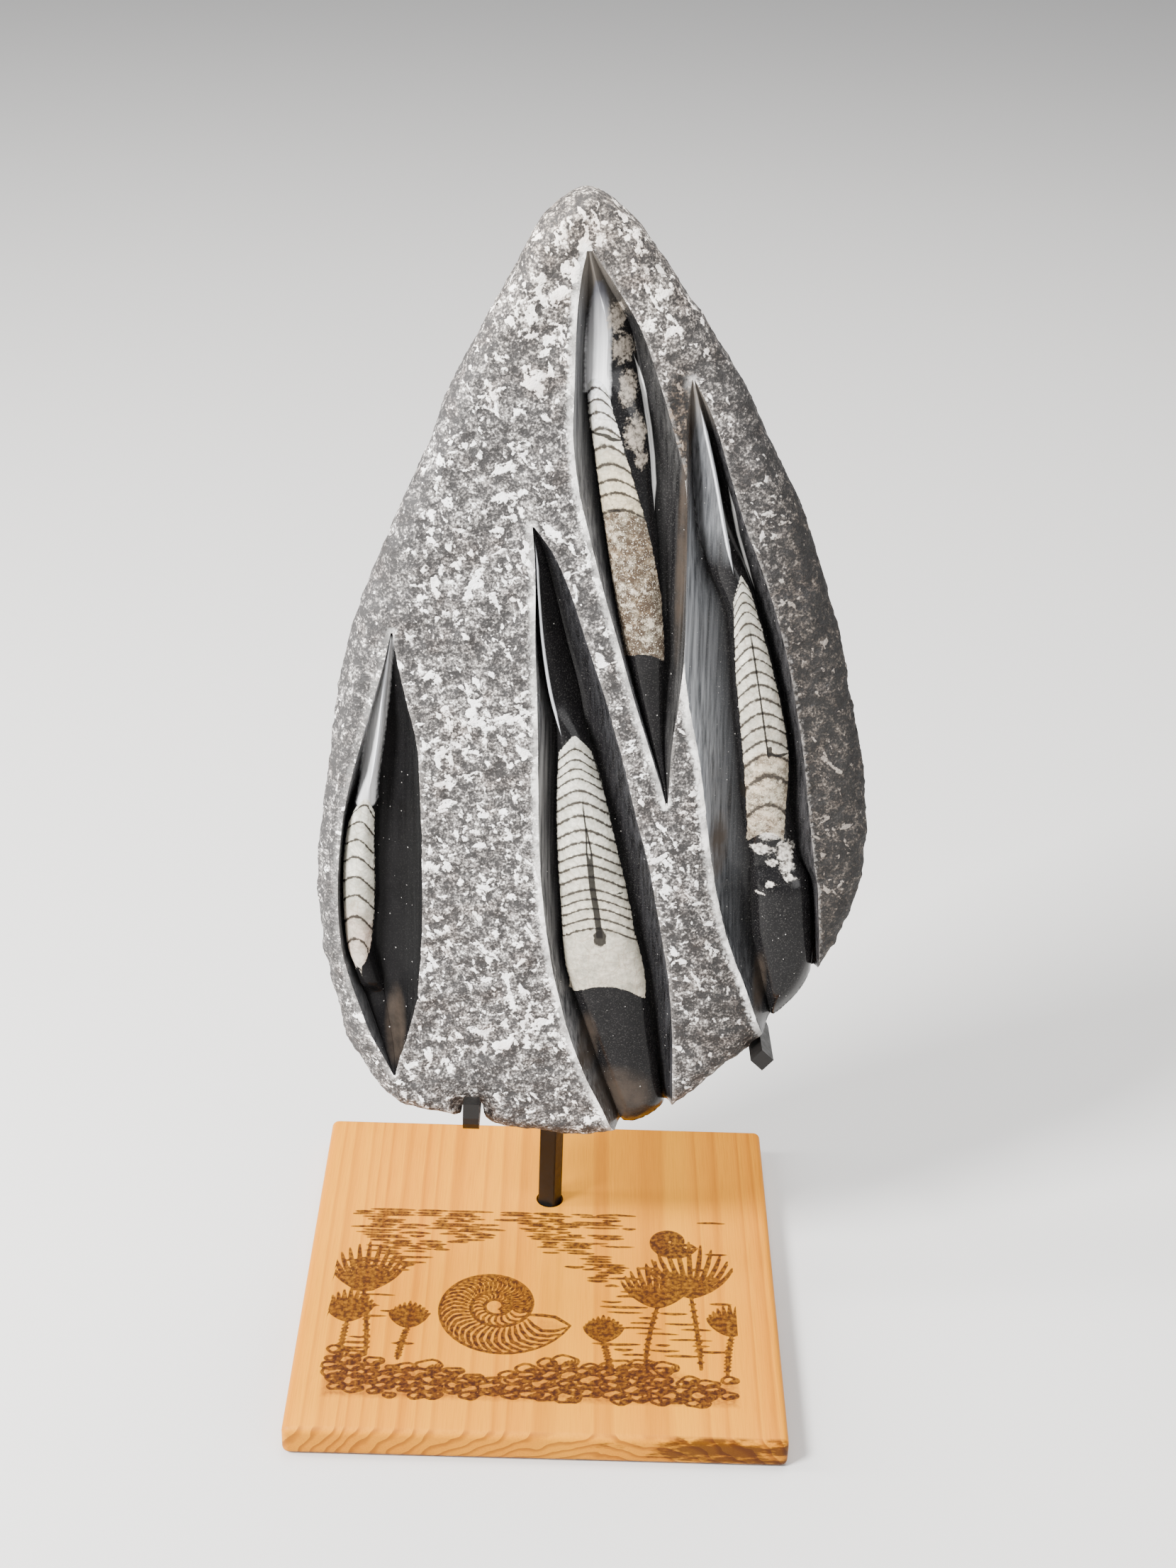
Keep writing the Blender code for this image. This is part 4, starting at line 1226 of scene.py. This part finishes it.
# %% The stroke tool
grid_places = coords(board)
low_side, high_side = np.array(PICTURE[:2]) - HAIR, np.array(PICTURE[2:]) + HAIR
in_picture = ((grid_places[:, :2] >= low_side) & (grid_places[:, :2] <= high_side)).all(axis=1)
on_field = np.flatnonzero(in_picture & (grid_places[:, 2] > BOARD_THICK - HAIR))
field_xy = grid_places[on_field, :2]
ink = np.full(len(on_field), FAR)
luck = random.Random(11)


def stroke(points, width, ends=0.25):
    """Burn one line. Its width tapers to that share at both ends."""
    points = np.array(points, float)
    near = np.flatnonzero(((field_xy > points.min(0) - 1.5) & (field_xy < points.max(0) + 1.5)).all(axis=1))
    here = field_xy[near]
    for i in range(len(points) - 1):
        run = points[i + 1] - points[i]
        share = np.clip((here - points[i]) @ run / max(run @ run, 1e-6), 0, 1)
        gap = np.linalg.norm(here - points[i] - share[:, None] * run, axis=1)
        along = 2 * (i + share) / (len(points) - 1) - 1
        half = (0.1 + 0.55 * width) * (1 - (1 - ends) * np.abs(along) ** 3)
        ink[near] = np.minimum(ink[near], gap - half)


def turned(x, y, length, angle):
    return x + length * math.cos(angle), y + length * math.sin(angle)


# %% [markdown]
# ## The drawing's motifs
# An ammonite is a spiral that grows by the same factor each turn, with ribs from one turn to the next.
# A sea lily is a jointed stem with curling arms. Pebbles lie along the bottom, and broken level lines
# stand for the water. The design is a generic one.

# %% Draw the sea floor
def ammonite(x, y, radius, start, turns=3.1, growth=0.44):
    def reach(angle):
        return radius * growth ** (angle / (2 * math.pi))

    steps = int(turns * 40)
    coil = [turned(x, y, reach(a), start - a) for a in np.linspace(0, turns * 2 * math.pi, steps)]
    stroke(coil, 0.7, 0.6)
    angle = 0.12
    while angle < (turns - 1) * 2 * math.pi:
        inner, outer = reach(angle + 2 * math.pi), reach(angle)
        rib = [
            turned(x, y, inner + (outer - inner) * t, start - angle - 0.22 * math.sin(math.pi * t) + 0.1 * t)
            for t in (0.06, 0.3, 0.55, 0.8, 0.98)
        ]
        stroke(rib, 0.2 + 0.05 * (outer - inner), 0.3)
        angle += 0.15 if outer > radius * 0.45 else 0.3
    mouth = [
        turned(x, y, radius * (growth + (1 - growth) * t), start + 0.12 * math.sin(3 * t))
        for t in (0, 0.3, 0.6, 1)
    ]
    stroke(mouth, 0.9, 0.5)


def sea_lily(x, y, height, lean, arms=11, spread=1.1):
    top_x, top_y = x + lean, y + height
    stem = [(x + lean * t ** 1.6, y + height * t) for t in np.linspace(0, 1, 12)]
    stroke(stem, 0.9, 0.8)
    for px, py in stem[1:-1]:
        stroke([(px - 0.9, py - 0.2), (px + 0.9, py + 0.2)], 0.45, 0.8)
    for arm in range(arms):
        share = 2 * arm / (arms - 1) - 1
        angle = math.pi / 2 - spread * share
        length = height * (0.85 - 0.2 * abs(share))
        line = []
        px, py = top_x, top_y
        for step in range(9):
            line.append((px, py))
            px, py = turned(px, py, length / 8, angle)
            angle += 0.1 * share
        stroke(line, 1.15, 0.3)
        for px, py in line[3:8]:
            stroke([(px, py), (px + 0.9 * (share + 0.3), py + 1.2)], 0.35)


def pebble(x, y, wide, high):
    ring = [
        (x + wide * math.cos(a), y + high * math.sin(a) * (1 + 0.2 * math.sin(3 * a + x)))
        for a in np.linspace(0, 2 * math.pi, 15)
    ]
    stroke(ring, 0.55, 0.7)
    for k in range(3):
        fill = 0.25 + 0.24 * k
        shade = [
            (x + wide * fill * math.cos(a), y + high * fill * math.sin(a)) for a in np.linspace(-1.9, 0.5, 6)
        ]
        stroke(shade, 0.45)


AMMONITES = [(-14.0, -19.0, 25.0), (42.0, 14.0, 9.0)]  # middle across, middle up, radius


def sea_floor_height(x):
    return -45.0 + 3.5 * math.sin(x / 13.0) + 2.0 * math.sin(x / 5.1 + 1.0)


def draw_sea_floor():
    for x, y, radius in AMMONITES:
        ammonite(x, y, radius, -0.35)
    for x, y, height, lean in ((-53, -42, 28, -3), (-61, -46, 18, 1), (-43, -44, 14, 2), (33, -44, 26, 4),
                               (50, -45, 32, -2), (58, -47, 17, 2), (22, -48, 14, -2)):
        sea_lily(x, y, height, lean)
    for row in range(6):
        x = PICTURE[0] + 3.0 + luck.random() * 3
        while x < PICTURE[2] - 3.0:
            wide = luck.uniform(1.8, 4.2)
            y = sea_floor_height(x) - 1.5 - 3.0 * row
            if y > PICTURE[1] + 2.2:
                pebble(x, y + luck.uniform(-0.6, 0.6), wide, wide * luck.uniform(0.4, 0.6))
            x += wide * 1.7 + 0.6
    y = PICTURE[3] - 1.5
    while y > -40:
        x = PICTURE[0] + 2.0 + luck.random() * 8
        while x < PICTURE[2] - 4:
            length = luck.uniform(4, 15)
            middle = x + length / 2
            clear = all(math.hypot(middle - ax, y - ay) > r + 3 + length / 2 for ax, ay, r in AMMONITES)
            ray = (middle + 0.8 * y) % 27 < 6
            if clear and not ray and x + length < PICTURE[2] - 1:
                ripple = [(x, y), (middle, y + luck.uniform(-0.4, 0.4)), (x + length, y)]
                stroke(ripple, luck.uniform(0.4, 0.8))
            x += length + luck.uniform(0.4, 3) + (4 if y < -5 else 0)
        y -= 1.3 if y > -5 else 2.4


draw_sea_floor()
print("burnt share of the field: %.2f" % float((ink < 0).mean()))

# %% [markdown]
# ## Burn it in
# A hot point chars the wood and sinks a little, so the vertices under a stroke go down by a tenth of a
# millimetre. The distance goes on the board as an attribute called burn, with a soft wash that darkens
# the sea floor.

# %% Sink the strokes and store them
def burn_board(board):
    places = coords(board)
    sunk = np.clip(0.5 - ink / 0.6, 0, 1)
    places[on_field, 2] -= 0.12 * sunk
    move_to(board, places)
    burn = np.full(len(places), FAR)
    wash = np.zeros(len(places))
    burn[on_field] = ink
    x, y = field_xy.T
    edge = np.minimum.reduce([x - PICTURE[0], PICTURE[2] - x, y - PICTURE[1], PICTURE[3] - y])
    floor_line = np.array([sea_floor_height(v) for v in x])
    wash[on_field] = np.clip((floor_line - y) / 5.0 + 0.3, 0, 1) * np.clip(edge / 2.5, 0, 1)
    for middle_x, middle_y, radius in AMMONITES:
        right, up = x - middle_x, y - middle_y
        away = np.hypot(right, up) / radius
        coil_edge = 0.44 ** (((-0.35 - np.arctan2(up, right)) % (2 * math.pi)) / (2 * math.pi))
        shaded = np.clip(0.45 - 0.35 * (right * 0.5 + up) / radius, 0.1, 0.9)
        wash[on_field] = np.where(away < coil_edge, np.maximum(wash[on_field], shaded), wash[on_field])
    write(board.data, "burn", burn, wash, np.zeros(len(places)))


burn_board(board)

# %% [markdown]
# ## Waxed wood
# The board is sawn along the grain, which runs front to back. In the material the growth rings are real
# rings round an axis under the board, so the top shows long bands and the front shows the curved end
# grain. Wax gives a soft sheen. Where the front was scorched by the cutting, at its right end, it turns
# reddish brown.

# %% The wood's material
def wood_material(mat):
    node, shader = start_material(mat)
    metres = node("TexCoord").outputs["Object"]
    place = node("VectorMath", metres, Scale=1 / MM, operation="SCALE")
    spot = node("SeparateXYZ", place).outputs
    burn = node("SeparateXYZ", node("Attribute", attribute_name="burn").outputs["Vector"]).outputs
    from_pith = node("Mapping", Vector=place, Location=(-28.0, 0, 46.0), Scale=(1.0, 0.02, 1.0))
    bent = node("TexNoise", Vector=from_pith, Scale=0.05, Detail=3.0)
    bend = node("VectorMath", bent.outputs["Color"], (14.0, 14.0, 14.0), from_pith, operation="MULTIPLY_ADD")
    rings = node(
        "TexWave", Vector=bend, Scale=0.085, Distortion=0.6, Detail=2.0,
        wave_type="RINGS", rings_direction="Y", wave_profile="SAW",
    )
    along = node("Mapping", Vector=place, Scale=(2.4, 0.06, 2.4))
    fibre = node("TexNoise", Vector=along, Scale=1.0, Detail=4.0, Roughness=0.6)
    cloud = node("TexNoise", Vector=from_pith, Scale=0.035, Detail=2.0)

    late_wood = [(0.0, "#bd7803"), (0.6, "#b87101"), (0.86, "#a66200"), (1.0, "#b97302")]
    colour = node("ValToRGB", rings, stops=late_wood)
    darker = node("MapRange", fibre, 0.45, 0.72, 0.0, 0.3)
    colour = node("Mix", darker, colour, "#7d4204")
    pale = node("MapRange", cloud, 0.4, 0.7, 0.0, 0.35)
    colour = node("Mix", pale, colour, "#cf9212")

    # end grain on the front, with its scorched end
    front = node("MapRange", spot["Y"], -72.9, -74.0)
    end_lines = node("MapRange", rings, 0.55, 0.95, 0.0, 0.6)
    end_lines = node("MULTIPLY", end_lines, front)
    colour = node("Mix", end_lines, colour, "#6b380f")
    blotch = node("Mapping", Vector=place, Scale=(0.07, 0.1, 0.3))
    blotch = node("TexNoise", Vector=blotch, Scale=1.0, Detail=4.0, Roughness=0.65)
    reach = node("MapRange", spot["X"], -25.0, 55.0, -0.35, 0.16)
    scorch = node("ADD", blotch, reach)
    scorch = node("MapRange", scorch, 0.5, 0.66, interpolation_type="SMOOTHSTEP")
    scorch = node("MULTIPLY", scorch, front)
    scorch = node("MULTIPLY", scorch, 0.85)
    colour = node("Mix", scorch, colour, "#2e1004")

    # the burnt drawing
    mottle = node("TexNoise", Vector=place, Scale=0.7, Detail=3.0)
    wash = node("MULTIPLY", burn["Y"], mottle)
    wash = node("MapRange", wash, 0.1, 0.7, 0.0, 0.75)
    colour = node("Mix", wash, colour, "#5e2f14")
    line = node("MapRange", burn["X"], -0.05, 0.3, 0.95, 0.0, interpolation_type="SMOOTHSTEP")
    strength = node("MapRange", mottle, 0.3, 0.6, 0.7, 1.0)
    line = node("MULTIPLY", line, strength)
    colour = node("Mix", line, colour, "#260d06")

    height = node("MULTIPLY_ADD", fibre, 0.6, rings)
    bump = node("Bump", Strength=0.25, Distance=0.0001, Height=height)
    gloss = node("MapRange", fibre, 0.3, 0.7, 0.42, 0.58)
    gloss = node("MULTIPLY_ADD", line, 0.3, gloss)
    finish(shader, 0.12, IOR=1.47, Base_Color=colour, Roughness=gloss, Normal=bump)


waxed_hardwood = bpy.data.materials.new("waxed hardwood")
wood_material(waxed_hardwood)
board.data.materials.clear()
board.data.materials.append(waxed_hardwood)
board.data.transform(Matrix.Scale(MM, 4))
only(board)
bpy.ops.object.shade_smooth_by_angle(angle=math.radians(40))
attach(board, "root")
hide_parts("wood_base")
print("board:", sum(len(p.vertices) - 2 for p in board.data.polygons), "triangles")

# %% [markdown]
# ## Blackened steel and zinc
# The stand is square bar and strip, bent cold, welded and then blackened with satin paint. The bars'
# CAD shapes are right, so they stay and only their finish is new: nearly black, with the faint unevenness
# that a brushed-on coat leaves. The screw under the board is zinc plated.

# %% Steel materials
def blackened_steel():
    mat = bpy.data.materials.new("satin black painted steel")
    node, shader = start_material(mat)
    metres = node("TexCoord").outputs["Object"]
    place = node("VectorMath", metres, Scale=1 / MM, operation="SCALE")
    uneven = node("TexNoise", Vector=place, Scale=0.5, Detail=4.0, Roughness=0.6)
    colour = node("Mix", uneven, "#070606", "#161412")
    gloss = node("MapRange", uneven, 0.3, 0.7, 0.36, 0.52)
    grain = node("TexNoise", Vector=place, Scale=3.0, Detail=2.0)
    bump = node("Bump", Strength=0.25, Distance=0.0001, Height=grain)
    finish(shader, 0.3, Base_Color=colour, Roughness=gloss, Normal=bump)
    return mat


def zinc_plate():
    mat = bpy.data.materials.new("zinc plated steel")
    node, shader = start_material(mat)
    metres = node("TexCoord").outputs["Object"]
    place = node("VectorMath", metres, Scale=1 / MM, operation="SCALE")
    cloud = node("TexNoise", Vector=place, Scale=1.5, Detail=3.0)
    colour = node("Mix", cloud, "#9a9c9e", "#c6c8ca")
    gloss = node("MapRange", cloud, 0.0, 1.0, 0.25, 0.45)
    finish(shader, 0.5, Metallic=1.0, Base_Color=colour, Roughness=gloss)
    return mat


black_steel = blackened_steel()
zinc = zinc_plate()
for name, coat in (
    ("post", black_steel), ("back_rest", black_steel), ("left_arm", black_steel), ("right_arm", black_steel),
    ("base_screw", zinc),
):
    for material_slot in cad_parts[name].material_slots:
        material_slot.material = coat
    print(name, "->", coat.name)

# %% [markdown]
# ## Weld beads
# The stand's bars meet in short welds. A hand weld is a row of overlapping pools, so one flattened ball
# is copied along each joint and a voxel remesh melts the row into one rippled bead. The beads are laid
# in the slab's frame or the board's, painted with the bars.

# %% Melt rows of pools into beads
WELDS = {  # start, end, radius, and whether the places are in the slab's frame
    "weld_post_left": ((-2.6, 30.4, 68.0), (-2.6, 31.2, 82.5), 1.3, False),
    "weld_post_right": ((6.4, 30.4, 68.0), (6.4, 31.2, 82.5), 1.3, False),
    "weld_left_arm": ((-4.2, 9.8, -4.6), (-4.2, 14.2, -4.6), 1.1, True),
    "weld_right_arm": ((8.2, 66.6, -4.4), (9.2, 71.8, -4.4), 1.5, True),
}


def weld_bead(name, start, end, radius, on_slab):
    start, end = Vector(start), Vector(end)
    count = max(3, round((end - start).length / (radius * 0.75)))
    bpy.ops.object.select_all(action="DESELECT")
    bpy.ops.mesh.primitive_uv_sphere_add(segments=16, ring_count=8, radius=radius)
    pool = bpy.context.object
    pools = [pool]
    for _ in range(count - 1):
        copy = pool.copy()
        copy.data = pool.data.copy()
        bpy.context.scene.collection.objects.link(copy)
        pools.append(copy)
    for i, each in enumerate(pools):
        each.location = start.lerp(end, i / (count - 1))
        each.scale = (1.0, 1.0, 1.0 + 0.1 * math.sin(3.0 * i))
        each.select_set(True)
    bpy.context.view_layer.objects.active = pool
    bpy.ops.object.join()
    bpy.ops.object.transform_apply(location=True, rotation=True, scale=True)
    melt = pool.modifiers.new("melt", "REMESH")
    melt.mode = "VOXEL"
    melt.voxel_size = 0.3
    smooth = pool.modifiers.new("smooth", "SMOOTH")
    smooth.iterations = 2
    apply_all(pool)
    pool.name = name
    pool.data.transform(SLAB_PLACE if on_slab else Matrix.Scale(MM, 4))
    pool.data.materials.append(black_steel)
    pool.data.shade_smooth()
    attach(pool, "root")
    print(name, count, "pools,", len(pool.data.polygons), "faces")


for name, (start, end, radius, on_slab) in WELDS.items():
    weld_bead(name, start, end, radius, on_slab)


# %% [markdown]
# ## Camera, floor and light
# The object stands on a plain pale floor. A broad soft light from the upper left models the stone, a
# weaker one on the right opens the shadows, a narrow strip on the left draws the bright lines that
# polished stone shows along its arrises, and a broad light hangs above.

# %% Camera
CAMERA_PLACE = Vector((0.00275, -0.57216, 0.50227))
YAW, PITCH, ROLL = (math.radians(a) for a in (0.663, 28.76, 2.08))
LENS = 52.5


def aim_camera():
    forward = Vector((math.sin(YAW) * math.cos(PITCH), math.cos(YAW) * math.cos(PITCH), -math.sin(PITCH)))
    right = Vector((math.cos(YAW), -math.sin(YAW), 0.0))
    up = right.cross(forward)
    x_axis = right * math.cos(ROLL) + up * math.sin(ROLL)
    y_axis = up * math.cos(ROLL) - right * math.sin(ROLL)
    data = bpy.data.cameras.new("camera")
    data.lens = LENS
    data.sensor_width = 36.0
    data.clip_start = 0.01
    camera = bpy.data.objects.new("camera", data)
    bpy.context.scene.collection.objects.link(camera)
    turn = Matrix((x_axis, y_axis, -forward)).transposed().to_4x4()
    camera.matrix_world = Matrix.Translation(CAMERA_PLACE) @ turn
    bpy.context.scene.camera = camera


aim_camera()


# %% Floor and lights
def floor_material():
    mat = bpy.data.materials.new("matt studio paper")
    node, shader = start_material(mat)
    finish(shader, 0.5, Roughness=0.9, Base_Color="#bdbbb8")
    return mat


def add_floor():
    bpy.ops.object.select_all(action="DESELECT")
    bpy.ops.mesh.primitive_plane_add(size=12.0)
    floor = bpy.context.object
    floor.name = "floor"
    floor.data.materials.append(floor_material())


def add_softbox(name, place, target, size, power):
    data = bpy.data.lights.new(name, "AREA")
    data.shape = "RECTANGLE"
    data.size, data.size_y = size
    data.energy = power
    lamp = bpy.data.objects.new(name, data)
    bpy.context.scene.collection.objects.link(lamp)
    lamp.location = place
    lamp.rotation_euler = (Vector(target) - Vector(place)).to_track_quat("-Z", "Y").to_euler()


add_floor()
MIDDLE = (0.0, 0.0, 0.16)
add_softbox("key", (-1.1, -0.7, 1.35), MIDDLE, (0.45, 0.45), 130.0)
add_softbox("fill", (1.3, -0.9, 0.8), MIDDLE, (1.0, 1.0), 20.0)
add_softbox("left strip", (-0.75, 0.0, 0.55), MIDDLE, (0.12, 0.9), 13.0)
add_softbox("top", (0.1, 0.5, 1.5), MIDDLE, (0.9, 0.9), 36.0)
world = bpy.data.worlds.new("studio")
world.use_nodes = True
world.node_tree.nodes["Background"].inputs["Color"].default_value = (0.93, 0.95, 1.0, 1.0)
world.node_tree.nodes["Background"].inputs["Strength"].default_value = 0.6
bpy.context.scene.world = world
